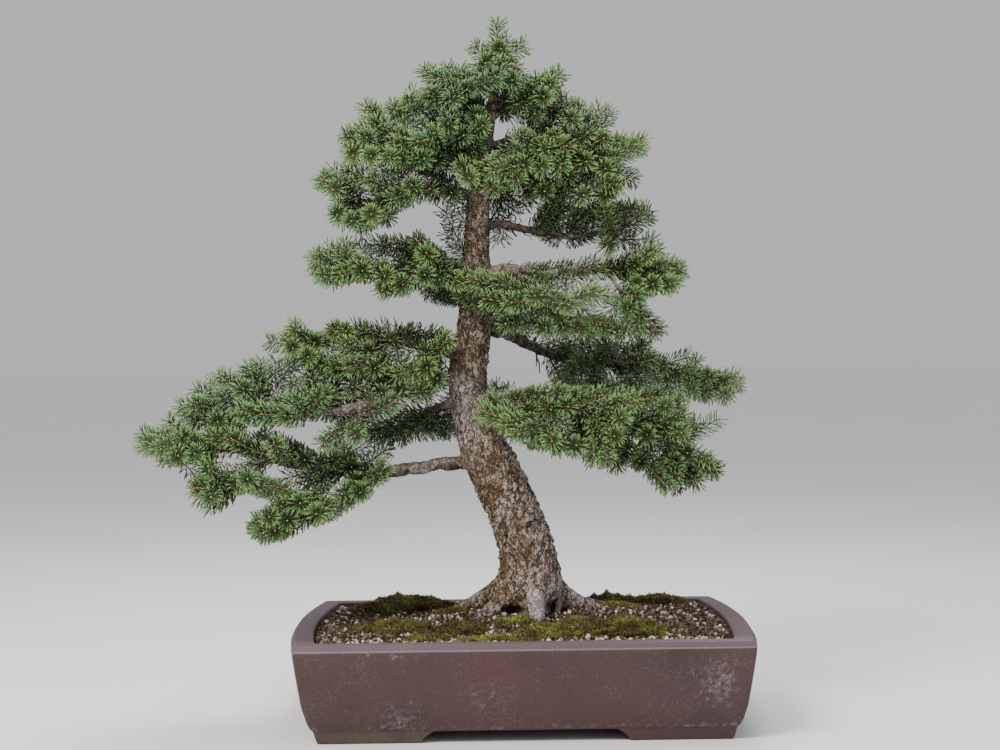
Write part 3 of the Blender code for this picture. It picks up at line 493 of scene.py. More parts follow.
rootLines = [
    [(-4, 26, 138, 17), (-30, 34, 118, 14), (-54, 44, 107, 9.5), (-78, 54, 98, 4.5)],
    [(12, 6, 142, 12), (15, -12, 124, 9.5), (16, -24, 112, 8.8), (16, -32, 103, 8.2), (17, -38, 95, 6)],
    [(22, 22, 140, 16), (46, 34, 118, 12.5), (70, 46, 106, 8.5), (94, 54, 97, 4.5)],
    [(24, 34, 134, 12), (54, 56, 111, 8), (86, 74, 103, 5), (112, 86, 96, 3.5)],
    [(0, 36, 136, 14), (-14, 62, 114, 10), (-24, 82, 102, 6), (-32, 98, 94, 4)],
    [(16, 38, 136, 13), (30, 66, 113, 9), (40, 88, 102, 6), (48, 104, 94, 4)],
    [(-2, 14, 136, 14), (-22, 4, 115, 10), (-40, -6, 104, 7), (-54, -14, 95, 4)],
]

limbLines = [
    [(-34, 20, 268, 9), (-67, 20, 265, 7.6), (-106, 10, 260, 6.8), (-153, -8, 255, 6), (-198, -24, 261, 5),
     (-250, -36, 271, 4), (-296, -42, 283, 2.8)],
    [(-52, 15, 378, 8), (-78, 17, 386, 6.4), (-120, 21, 394, 5.2), (-165, 24, 399, 4.2), (-206, 22, 404, 2.8)],
    [(-56, 14, 351, 9), (-84, 6, 356, 7.6), (-116, -5, 350, 7), (-150, -16, 333, 6.2), (-190, -28, 323, 5),
     (-232, -26, 325, 4), (-275, -15, 336, 2.8)],
    [(-54, 20, 332, 7), (-78, 36, 326, 5), (-108, 54, 314, 3)],
    [(-44, 10, 476, 7), (-70, 7, 478, 5.4), (-108, 3, 474, 4.4), (-150, -4, 472, 2.8)],
    [(-42, 5, 544, 6), (-62, 4, 553, 5), (-100, 0, 555, 4), (-140, -5, 554, 2.7)],
    [(-36, 3, 584, 5), (-58, 1, 594, 4.2), (-84, -2, 599, 3.5), (-106, -5, 603, 2.6)],
    [(-28, 0, 634, 3.6), (-48, 0, 648, 2.5)],
    [(-26, 0, 640, 3.4), (-4, -2, 652, 2.5)],
    [(-26, 2, 636, 3.4), (-18, 16, 642, 2.4)],
    [(-34, 2, 598, 5), (-10, 1, 606, 4.2), (26, 0, 610, 3.6), (62, 0, 612, 2.6)],
    [(-34, 6, 596, 3.8), (-6, 20, 604, 2.5)],
    [(-42, 6, 518, 6), (-20, 7, 518, 5), (2, 2, 514, 4.4), (30, 0, 508, 3.8), (70, 4, 504, 2.7)],
    [(-42, 10, 461, 7.5), (-18, 8, 470, 6), (24, 0, 466, 5.2), (72, 0, 467, 4.2), (120, 3, 469, 2.8)],
    [(-14, 8, 469, 4.4), (4, -18, 460, 3.6), (20, -40, 453, 2.7)],
    [(-44, 18, 402, 9), (-22, 26, 406, 7.4), (12, 58, 391, 6.4), (48, 86, 377, 5.4), (108, 99, 368, 4.4),
     (165, 100, 361, 2.8)],
    [(-50, 12, 324, 9), (-26, 10, 333, 7.4), (12, 2, 334, 6.4), (62, -6, 327, 5.4), (105, -14, 316, 4.2),
     (134, -19, 307, 2.8)],
    [(-46, 4, 324, 7), (-14, -32, 328, 5.6), (22, -64, 327, 4.4), (60, -88, 326, 2.8)],
    [(-46, 26, 306, 7), (-32, 70, 317, 5), (-22, 110, 324, 2.8)],
    [(-46, 18, 438, 6), (-58, 55, 446, 4.4), (-68, 85, 450, 2.7)],
    [(-38, 8, 561, 5), (-22, 45, 568, 2.6)],
]

barkLook = {
    "voxel": 1.7,           # mm, fine enough for scales of 4 to 6 mm
    "steps": (4.0, 5.0, 3.0), "sides": (40, 20, 12),    # trunk, roots, limbs
    "scaleWide": 6.5, "scaleTall": 9.5, "youngScales": 9.0, "youngFiner": 1.5,
    "relief": 2.3,          # mm on the thick trunk; thin limbs take less
    "ridges": 1.5, "ridgeSize": 18.0, "grit": 0.45,
    "thickAt": 24.0,        # radius in mm from which the relief is full
    "crackDark": 0.34,
    # hollows beside the front root, pushed in and darkened as painted shade: centre X and Z, half width, half
    # height, depth
    "hollows": [(-8.0, 108.0, 11.0, 7.5, 9.0), (35.0, 110.0, 10.0, 8.5, 10.0)],
    "knots": 0.3, "knotEvery": 8.0, "wander": 2.2, "wanderEvery": 13.0,    # limbs: share of the radius, then mm
}

# Leafy sprays: the point on a limb that each grows from, then the ends of its shoots, the main one first
sprayEnds = {
    "l1_tip": [(-296, -42, 283), (-397, -50, 304), (-372, -22, 318), (-366, -84, 278)],
    "l1_low": [(-184, -20, 259), (-264, -104, 200), (-224, -114, 232), (-196, -92, 226)],
    "l1_front": [(-258, -37, 272), (-336, -92, 246), (-318, -104, 228), (-262, -98, 252)],
    "l1_inner": [(-158, -10, 256), (-164, -90, 240), (-136, -78, 268)],
    "l1_top": [(-236, -34, 268), (-250, -102, 296), (-300, -78, 300)],
    "l1_rear": [(-276, -39, 278), (-330, 24, 310), (-268, 34, 298)],
    "l1_back": [(-170, -14, 257), (-196, 56, 288), (-140, 52, 280)],
    "l2_tip": [(-206, 22, 404), (-272, 12, 394), (-238, -22, 414), (-250, 46, 406)],
    "l2_front": [(-140, 22, 396), (-150, -52, 364), (-186, -34, 392)],
    "l2_inner": [(-94, 19, 390), (-96, -52, 364), (-72, -46, 398)],
    "l2_rear": [(-150, 23, 398), (-166, 94, 400), (-108, 84, 408), (-212, 66, 406)],
    "l3_tip": [(-275, -15, 336), (-366, 2, 328), (-350, 28, 348), (-344, -46, 332)],
    "l3_up": [(-246, -22, 329), (-292, 8, 375), (-322, -14, 362)],
    "l3_front": [(-214, -27, 324), (-240, -98, 320), (-290, -76, 324), (-196, -92, 346)],
    "l3_low": [(-166, -21, 329), (-168, -94, 296), (-122, -80, 336), (-206, -86, 288)],
    "l3_back": [(-180, -25, 325), (-196, 50, 318), (-244, 36, 328), (-150, 40, 328)],
    "l2_low": [(-108, 54, 314), (-172, 64, 296), (-130, 98, 287), (-74, 96, 296)],
    "l4_tip": [(-150, -4, 472), (-221, -20, 477), (-204, -52, 461), (-184, 30, 504)],
    "l4_low": [(-122, 1, 473), (-142, -64, 444), (-172, -50, 478)],
    "l4_front": [(-80, 6, 477), (-96, -64, 486), (-58, -62, 452)],
    "l4_back": [(-98, 4, 475), (-126, 76, 486), (-84, 76, 492)],
    "l5_tip": [(-140, -5, 554), (-212, -20, 568), (-194, 14, 542)],
    "l5_rear": [(-116, -2, 554), (-172, 52, 520), (-124, 66, 554)],
    "l5_front": [(-94, 0, 555), (-110, -70, 554), (-156, -54, 562)],
    "l6_tip": [(-106, -5, 603), (-187, -12, 615), (-164, 12, 651)],
    "l6_front": [(-80, -1, 598), (-86, -68, 608), (-132, -54, 596)],
    "l6_back": [(-70, 0, 596), (-98, 58, 618), (-150, 44, 610)],
    "l7": [(-48, 0, 648), (-102, 0, 686), (-95, -40, 648), (-48, -54, 652), (-78, 42, 666)],
    "top": [(-20, 0, 666), (-18, 0, 738), (-48, -8, 710), (16, 6, 710), (-14, -34, 696)],
    "r7": [(-4, -2, 652), (54, 2, 681), (50, 24, 658), (30, -46, 644)],
    "r7_back": [(-18, 16, 642), (-6, 72, 650), (-46, 60, 652)],
    "r6_tip": [(62, 0, 612), (141, 0, 596), (104, 16, 644), (96, 52, 610)],
    "r6_low": [(46, 0, 611), (128, -28, 558), (106, -46, 580), (74, -40, 560)],
    "r6_front": [(18, 0, 609), (54, -68, 591), (0, -70, 604)],
    "r6_back": [(-6, 20, 604), (40, 76, 610), (-16, 92, 606)],
    "r5_tip": [(70, 4, 504), (149, 20, 529), (134, 46, 503), (92, -34, 488)],
    "r5_back": [(44, 1, 506), (76, 72, 512), (28, 70, 516)],
    "r4_tip": [(120, 3, 469), (183, 10, 468), (152, 38, 496), (118, 60, 468)],
    "r4_low": [(94, 1, 468), (147, -62, 398), (124, -56, 436)],
    "r4_front": [(20, -40, 453), (52, -112, 426), (-13, -96, 430), (96, -96, 440)],
    "r3_tip": [(165, 100, 361), (255, 90, 343), (208, 126, 374), (214, 60, 356)],
    "r3_inner": [(110, 99, 368), (92, 36, 394), (152, 44, 372)],
    "r3_back": [(78, 93, 373), (98, 166, 372), (46, 152, 382)],
    "r2_tip": [(134, -19, 307), (211, -32, 253), (186, -64, 241), (194, 30, 306)],
    "r2_low": [(96, -12, 319), (150, -92, 240), (96, -76, 262)],
    "r1_tip": [(60, -88, 326), (119, -124, 333), (84, -132, 270)],
    "r1_low": [(26, -66, 327), (30, -134, 290), (-21, -108, 308), (-46, -82, 324)],
    "rear": [(-22, 110, 324), (-16, 190, 328), (36, 162, 312), (-62, 158, 318)],
    "rear_mid": [(-68, 85, 450), (-82, 156, 456), (-24, 134, 458)],
}

shootShape = {
    "firstReach": 10.3, "starReach": 8.0,   # mm that a spray's first joint and its end stars take up
    "sag": 0.10,                            # how far a shoot hangs, as a share of its length
    "forkStart": 0.16, "forkStep": 0.2,     # where the others leave the main one, as shares of it
}


def curvePoint(curve, t):
    start, control, tip = curve
    t = np.asarray(t, float)[..., None]
    return start * (1 - t) ** 2 + control * 2 * t * (1 - t) + tip * t * t


def curveAlong(curve, t):
    start, control, tip = curve
    t = np.asarray(t, float)[..., None]
    return unit((control - start) * (1 - t) + (tip - control) * t)


def curveLength(curve):
    steps = curvePoint(curve, np.linspace(0, 1, 13))
    return float(np.linalg.norm(np.diff(steps, axis=0), axis=1).sum())


# The curved axes of one spray, the main one first, on the same lines as the solids that they stand for.
def sprayAxes(ends):
    s = shootShape
    ends = [np.array(end, float) for end in ends]
    heading = unit(unit(ends[1] - ends[0]) - (0, 0, 2 * s["sag"]))
    start = ends[0] + heading * s["firstReach"]
    tip = ends[1] - unit(ends[1] - start) * s["starReach"]
    main = (start, start + heading * 0.5 * np.linalg.norm(tip - start), tip)
    axes = [main]
    for k, end in enumerate(ends[2:]):
        fork = curvePoint(main, s["forkStart"] + s["forkStep"] * k)
        tip = end - unit(end - fork) * s["starReach"]
        reach = np.linalg.norm(tip - fork)
        axes.append((fork, (fork + tip) * 0.5 - (0, 0, s["sag"] * reach), tip))
    return axes


# A limb swells at old forks and wanders a little between them.
def gnarled(path, seed):
    look = barkLook
    travelled = np.concatenate([[0.0], np.cumsum(np.linalg.norm(np.diff(path[:, :3], axis=0), axis=1))])
    for k, run in enumerate(travelled):
        ends = min(1.0, run / 12.0, (travelled[-1] - run) / 12.0)     # nothing moves at the two ends
        swell = noise.noise(Vector((run / look["knotEvery"], seed * 3.1, 0.7)))
        path[k, 3] *= 1 + look["knots"] * max(-0.35, swell) * ends
        drift = noise.noise_vector(Vector((run / look["wanderEvery"], seed * 2.3, 4.2)))
        path[k, :3] += np.array(drift) * look["wander"] * ends


# Trunk, roots, limbs and the feet of the sprays, grown into one skin with the relief of the bark in it.
def buildWood(bark):
    look = barkLook
    stems = [[trunkLine], rootLines, limbLines]
    paths = [smoothPath(line, step) for lines, step in zip(stems, look["steps"]) for line in lines]
    limbsFrom = 1 + len(rootLines)
    for k, path in enumerate(paths[limbsFrom:]):
        gnarled(path, k)
    onTrunk = sum(len(path) for path in paths[:limbsFrom])
    for ends in sprayEnds.values():
        axis = sprayAxes(ends)[0]
        base = np.array(ends[0], float)
        paths.append(np.array([(*base, 2.4), (*(base + axis[0]) / 2, 2.2), (*axis[0], 1.9)]))
    parts = [(*tube(path, look["sides"][0 if k == 0 else (1 if k < limbsFrom else 2)]), {})
             for k, path in enumerate(paths)]
    points, faces, _ = joined(parts)
    wood = meshPiece("trunk_and_limbs", points, faces, bark)
    modifier = wood.modifiers.new("grow together", "REMESH")
    modifier.mode = "VOXEL"
    modifier.voxel_size = look["voxel"] * 0.001
    modifier.use_smooth_shade = True
    applyModifiers(wood)
    mesh = wood.data
    if not mesh.materials:
        mesh.materials.append(bark)
    places, normals = placesOf(mesh), normalsOf(mesh)
    lines = np.concatenate(paths)
    finder = KDTree(len(lines))
    for k, line in enumerate(lines):
        finder.insert(Vector(line[:3]), k)
    finder.balance()
    crack, plate, bare, young = np.zeros((4, len(places)))
    rootX = rootLines[1][2][0]
    for k in range(len(places)):
        x, y, z = (float(v) for v in places[k])
        _, nearest, _ = finder.find((x, y, z))
        radius = lines[nearest][3]
        thick = min(1.0, radius / look["thickAt"])
        place = Vector((x / look["scaleWide"], y / look["scaleWide"], z / look["scaleTall"]))
        if radius < look["youngScales"]:
            place *= look["youngFiner"]
        place += noise.noise_vector(place * 0.6) * 0.6 + noise.noise_vector(place * 1.7) * 0.3
        distances, cells = noise.voronoi(place)
        edge = smoothStep(0.0, 0.2, distances[1] - distances[0])
        tone = noise.cell(cells[0] * 9.7)
        lifted = max(-0.5, min(0.5, cells[0].z - place.z))  # the lower edge of a scale stands off
        ridge = noise.noise(Vector((x, y, z * 0.4)) / look["ridgeSize"])
        grit = noise.noise(Vector((x, y, z)) * 0.8)
        height = look["relief"] * (edge * (0.45 + 0.45 * tone + 0.9 * lifted) - 0.35) + look["ridges"] * ridge
        height += look["grit"] * grit
        places[k] += normals[k] * height * (0.12 + 0.88 * thick ** 1.2)
        crack[k] = look["crackDark"] * (1 - edge) * (0.1 + 0.9 * thick)
        young[k] = float(smoothStep(12.0, 7.0, radius)) if nearest >= onTrunk else 0.0
        plate[k] = 0.5 + 0.5 * tone if tone < 0 else tone
        if z < 140 and y < 4:  # the front of the foot: a scuffed root between two hollows
            onRoot = smoothStep(15.0, 9.0, abs(x - rootX)) * smoothStep(-6.0, -14.0, y)
            scuff = float(0.8 * onRoot + 0.35 * (1 - onRoot) * smoothStep(-6.0, 16.0, x))
            bare[k] = scuff * float(smoothStep(140.0, 124.0, z))
            crack[k] *= 1 - 0.8 * bare[k]
            for hollowX, hollowZ, halfWide, halfTall, depth in look["hollows"]:
                inside = 1 - ((x - hollowX) / halfWide) ** 2 - ((z - hollowZ) / halfTall) ** 2 + 0.5 * ridge
                if inside > 0 and y > -22:
                    places[k][1] += depth * inside ** 0.9
                    # painted shade: a hollow is darkened through the same mark as the cracks
                    crack[k] = max(crack[k], min(0.8, 1.3 * inside))
    setPlaces(mesh, places)
    mesh.update()
    addMarks(mesh, {"crack": crack, "plate": plate, "bare": bare, "young": young})
    dress(wood, "bark", "wood")
    return wood


flakeLook = {
    "count": 1900, "small": 1.7, "large": 3.9, "thick": 0.6,     # half sizes in mm
    "lift": (0.2, 1.3),         # how far a loose edge stands off
    "thinnest": 8.5,            # radius of the thinnest wood that carries flakes
    "lowest": 112.0, "turn": 0.7, "slim": (0.55, 0.85),
}


# Loose flakes of bark on the trunk: five-cornered plates, rooted at one end and standing off at the other.
def buildFlakes(bark, wood):
    look = flakeLook
    rng = np.random.default_rng(41)
    places, normals = placesOf(wood.data), normalsOf(wood.data)
    tried = places[::3]
    line = smoothPath(trunkLine, barkLook["steps"][0])
    nearest = np.array([int(np.argmin(np.linalg.norm(line[:, :3] - place, axis=1))) for place in tried])
    radius = line[nearest, 3]
    away = np.linalg.norm(line[nearest, :3] - tried, axis=1)
    suited = np.flatnonzero((radius > look["thinnest"]) & (away < radius + 7) & (tried[:, 2] > look["lowest"])) * 3
    tris = np.array([(0, 1, 2), (0, 2, 3), (0, 3, 4), (5, 7, 6), (5, 8, 7), (5, 9, 8)])
    parts = []
    for k in rng.choice(suited, look["count"], replace=False):
        normal = unit(normals[k])
        near = nearest[k // 3]
        along = unit(line[max(0, near - 1), :3] - line[min(len(line) - 1, near + 1), :3])
        turn = rng.normal(0, look["turn"])
        down = unit(along - normal * (along @ normal))
        side = np.cross(normal, down)
        down, side = (down * math.cos(turn) + side * math.sin(turn), side * math.cos(turn) - down * math.sin(turn))
        long = rng.uniform(look["small"], look["large"]) * (1.15 if radius[k // 3] > 18 else 0.8)
        wide = long * rng.uniform(*look["slim"])
        lift = rng.uniform(*look["lift"])
        top = []
        for angle in (np.arange(5) + rng.uniform(-0.25, 0.25, 5)) * 2 * math.pi / 5:
            loose = 0.5 + 0.5 * math.cos(angle)     # 1 at the loose end
            top.append(places[k] + down * long * math.cos(angle) + side * wide * math.sin(angle)
                       + normal * (0.15 + lift * loose ** 2))
        top = np.array(top)
        low = places[k] + (top - places[k]) * 0.82 - normal * look["thick"]
        ring = np.arange(5)
        turned = (ring + 1) % 5
        quads = np.stack([ring, ring + 5, turned + 5, turned], 1)
        # the lower layer of each flake, its edge and underside, is darkened as painted shade
        marks = {"crack": np.repeat([0.0, 0.8], 5), "plate": rng.uniform(0.25, 1.0), "bare": 0.0, "young": 0.0}
        parts.append((np.concatenate([top, low]), quads, tris, marks))
    points, faces, marks = joined(parts)
    piece = meshPiece("bark_flakes", points, faces, bark, smooth=False, marks=marks)
    cap(piece)
    dress(piece, "bark")


bareTwigLook = {
    "every": 11.0,              # mm along a limb between twigs
    "share": 0.62,              # of the limb, from the trunk outwards
    "long": (10.0, 30.0), "radius": 1.3, "steps": 6, "bend": 0.42, "forked": 0.6, "taper": 0.62,
}


# Leafless twigs on the shaded inner part of each limb, crooked, some with one fork.
def buildBareTwigs(bark):
    look = bareTwigLook
    rng = np.random.default_rng(57)
    parts = []

    def grow(start, heading, reach, radius, fork):
        path = [(*start, radius)]
        place = np.array(start, float)
        for step in range(1, look["steps"]):
            heading = unit(heading + rng.normal(0, look["bend"], 3) + (0, 0, 0.06))
            place = place + heading * reach / (look["steps"] - 1)
            path.append((*place, radius * (1 - look["taper"] * step / (look["steps"] - 1))))
            if fork and step == 2:
                side = unit(heading + rng.normal(0, 0.8, 3))
                grow(place, side, reach * rng.uniform(0.35, 0.6), radius * 0.7, False)
        marks = {"crack": 0.1, "plate": rng.uniform(0.2, 0.9), "bare": 0.0, "young": 1.0}
        parts.append((*tube(np.array(path), 4), marks))

    for line in limbLines[1:]:
        path = smoothPath(line, 2.0)
        along = unit(np.gradient(path[:, :3], axis=0))
        inner = int(len(path) * look["share"])
        for k in np.arange(int(look["every"] * 0.6), inner, int(look["every"] / 2.0)):
            k = min(len(path) - 1, int(k + rng.integers(-2, 3)))
            side = unit(np.cross(along[k], rng.normal(0, 1, 3)))
            off = rng.uniform(0.8, 1.3)
            heading = along[k] * math.cos(off) + side * math.sin(off)
            grow(path[k, :3], heading, rng.uniform(*look["long"]), look["radius"] * rng.uniform(0.75, 1.15),
                 rng.uniform() < look["forked"])
    points, faces, marks = joined(parts)
    dress(meshPiece("bare_twigs", points, faces, bark, marks=marks), "bark")


bark = spruceBark()
wood = buildWood(bark)
buildFlakes(bark, wood)
buildBareTwigs(bark)
print("wood made:", len(wood.data.polygons), "faces")


# Living spruce needles with a thin wax skin: mid green to blue-green, paler where the wax is thick, a yellower
# young tip, and grey-brown where old ones have died inside the crown. The outer end of each needle is a painted
# highlight, and its foot and the shoots deep in a pad are darkened as painted shade.
def spruceNeedles():
    material, tree, shader, where = newMaterial("waxy spruce needles", 0.48, 1.45, 0.4)
    tint, along, dead, inner = (addNode(tree, "Attribute", {"attribute_name": name}).outputs["Fac"]
                                for name in ("tint", "along", "dead", "inner"))
    colour = addNode(tree, "ValToRGB", {"Fac": tint, "stops": [(0.0, "#3e6c41"), (0.3, "#4d773c"),
                                                               (0.6, "#618237"), (1.0, "#81933c")]})
    # painted highlight on the outer end of each needle, painted shade at its foot
    tipHighlight = addNode(tree, "MapRange", {"Value": along, "From Min": 0.42, "To Max": 0.56})
    footShade = addNode(tree, "MapRange", {"Value": along, "To Min": 0.12, "From Max": 0.7})
    bloom = addNode(tree, "TexNoise", {"Vector": where, "Scale": perMm(14), "Detail": 3.0})
    waxy = addNode(tree, "MapRange", {"Value": bloom, "From Min": 0.4, "From Max": 0.7, "To Max": 0.3})
    innerShade = addNode(tree, "MapRange", {"Value": inner, "To Min": 1.0, "To Max": 0.5})
    for factor, blend, tone in (
            (tipHighlight, "MIX", "#aacb8b"), (1.0, "MULTIPLY", footShade), (dead, "MIX", "#7c6d57"),
            (waxy, "MIX", "#8fab86"),
            (1.0, "MULTIPLY", innerShade)):   # painted shade: deep inside a pad, behind other shoots from the light, it is darkened
        colour = addNode(tree, "Mix", {"data_type": "RGBA", "blend_type": blend, "Factor": factor,
                                       "A": colour, "B": tone})
    feed(tree, shader, {"Base Color": colour})
    return material


# Spruce twig bark: this year's wood is smooth orange-brown, older wood is grey and rough with needle pegs.
def twigBark():
    material, tree, shader, where = newMaterial("young spruce twig", 0.7, 1.45, 0.3)
    age = addNode(tree, "Attribute", {"attribute_name": "age"}).outputs["Fac"]
    colour = addNode(tree, "ValToRGB", {"Fac": age,
                                        "stops": [(0.0, "#937661"), (0.4, "#80705f"), (1.0, "#857b72")]})
    pegs = addNode(tree, "TexNoise", {"Vector": where, "Scale": perMm(1.8), "Detail": 4.0})
    shade = addNode(tree, "Mix", {"data_type": "RGBA", "blend_type": "OVERLAY", "Factor": 0.6,
                                  "A": colour, "B": pegs})
    grey = addNode(tree, "Mix", {"data_type": "RGBA", "Factor": 0.65, "A": shade, "B": colour})
    bump = addNode(tree, "Bump", {"Strength": 0.6, "Distance": 0.0005, "Height": pegs})
    feed(tree, shader, {"Base Color": grey, "Normal": bump})
    return material


# Resting buds: overlapping dry scales, chestnut at the foot, straw-coloured and faintly glossy at the point.
def budScales():
    material, tree, shader, where = newMaterial("dry bud scales", 0.45, 1.5, 0.5)
    along = addNode(tree, "Attribute", {"attribute_name": "along"}).outputs["Fac"]
    colour = addNode(tree, "ValToRGB", {"Fac": along,
                                        "stops": [(0.0, "#7c5538"), (0.55, "#a27046"), (1.0, "#cba878")]})
    scales = addNode(tree, "TexNoise", {"Vector": where, "Scale": perMm(0.9), "Detail": 3.0})
    mixed = addNode(tree, "Mix", {"data_type": "RGBA", "blend_type": "OVERLAY", "Factor": 0.35,
                                  "A": colour, "B": scales})
    feed(tree, shader, {"Base Color": mixed})
    return material


needleLook = {
    "length": 14.2, "radius": 0.74, "waist": 0.84,          # mm, mm, where it is widest
    "spacing": 0.66, "axisSpacing": 1.25, "crowding": 1.2,  # mm along a side shoot and an axis, closer to the tip
    "lean": 61.0, "tipLean": 57.0, "leanDrift": 3.0,        # degrees off the twig, along a shoot and at its tip
    "curl": 0.12,                       # how far a needle sweeps forward, as a share of its length
    "rows": (90, 0, 270, 180, 68, 28, 248, 152, 112, -28, 292, 208),   # degrees round the twig, in growing order
    "goldenTurn": 137.5, "turnDrift": 0.06, "sizeDrift": 0.05, "tintDrift": 0.06,
    "lateralEvery": 38.0,               # mm between side shoots on an axis
    "lateralFrom": 0.2, "lateralSpan": 0.62,     # the part of the axis that carries them
    "lateralLong": 44.0, "lateralShort": 32.0, "lateralRolls": (0, 180, 80), "rollDrift": 28,
    "lateralLean": (38, 55),
    "shadeReach": 75.0, "shadeWidth": 17.0, "shadeFrom": (-0.3, -0.65, 0.7),   # what counts as deep inside a pad
    "twigRadius": 0.75, "budRadius": 1.15, "budLength": 2.6,
    "oldShare": 0.22, "thinning": 1.8,  # how many shoots are browning, how much wider needles stand on dead ones
    "terminal": 40.0,                   # mm of an axis that are this year's
}


# Short side shoots along an axis: left and right in turn, every third one upwards.
def sideShoots(axis, rng):
    look = needleLook
    count = int((curveLength(axis) - 20) / look["lateralEvery"])
    found = []
    for k in range(count):
        t = look["lateralFrom"] + look["lateralSpan"] * (k + rng.uniform(0.2, 0.8)) / count
        fork, along = curvePoint(axis, t), curveAlong(axis, t)
        side = unit(np.cross(along, (0, 0, 1)) + 1e-6)
        up = np.cross(side, along)
        roll = math.radians(look["lateralRolls"][k % 3] + rng.uniform(-look["rollDrift"], look["rollDrift"]))
        out = side * math.cos(roll) + up * abs(math.sin(roll))
        off = math.radians(rng.uniform(*look["lateralLean"]))
        reach = look["lateralLong"] + (look["lateralShort"] - look["lateralLong"]) * t + rng.uniform(-4, 4)
        heading = along * math.cos(off) + out * math.sin(off)
        tip = fork + heading * reach + np.array([0, 0, rng.uniform(-3.0, 2.0)])
        found.append((fork, fork + heading * 0.5 * reach + (along * -1.5), tip))
    return found


# Where the photograph was taken from, in mm, turned to the right and down in degrees and rolled in radians. The
# lens in mm is that of f = 1760 px at 1000 px wide.
photoView = {
    "place": (-40.6, -1866.0, 374.0), "yaw": 0.645, "pitch": 0.488, "roll": 0.0112, "sensor": 36.0, "lens": 63.36,
}

padLook = {
    "farthest": 184.0,          # mm: no tip stands further back than the solid sprays
    "tipSpacing": 17.5,         # mm between tips
    "edgeInset": 8.3, "edgeBand": 5.0,      # mm that tips keep inside an outline, and how wide its edge is
    "waves": 13.0, "waveSize": 22.0,        # mm that the outline is bitten into, and how often
    "forward": 0.58, "spreadPeak": (3.0, 1.3),  # share of tips in front of the limb, and how they spread in depth
    "reach": 44.0, "shortest": 14.0,            # mm from a fork to its tip
    "nearer": 0.8, "turnCost": 26.0, "sideways": 0.35, "fanned": 0.85,      # how a shoot is steered
}
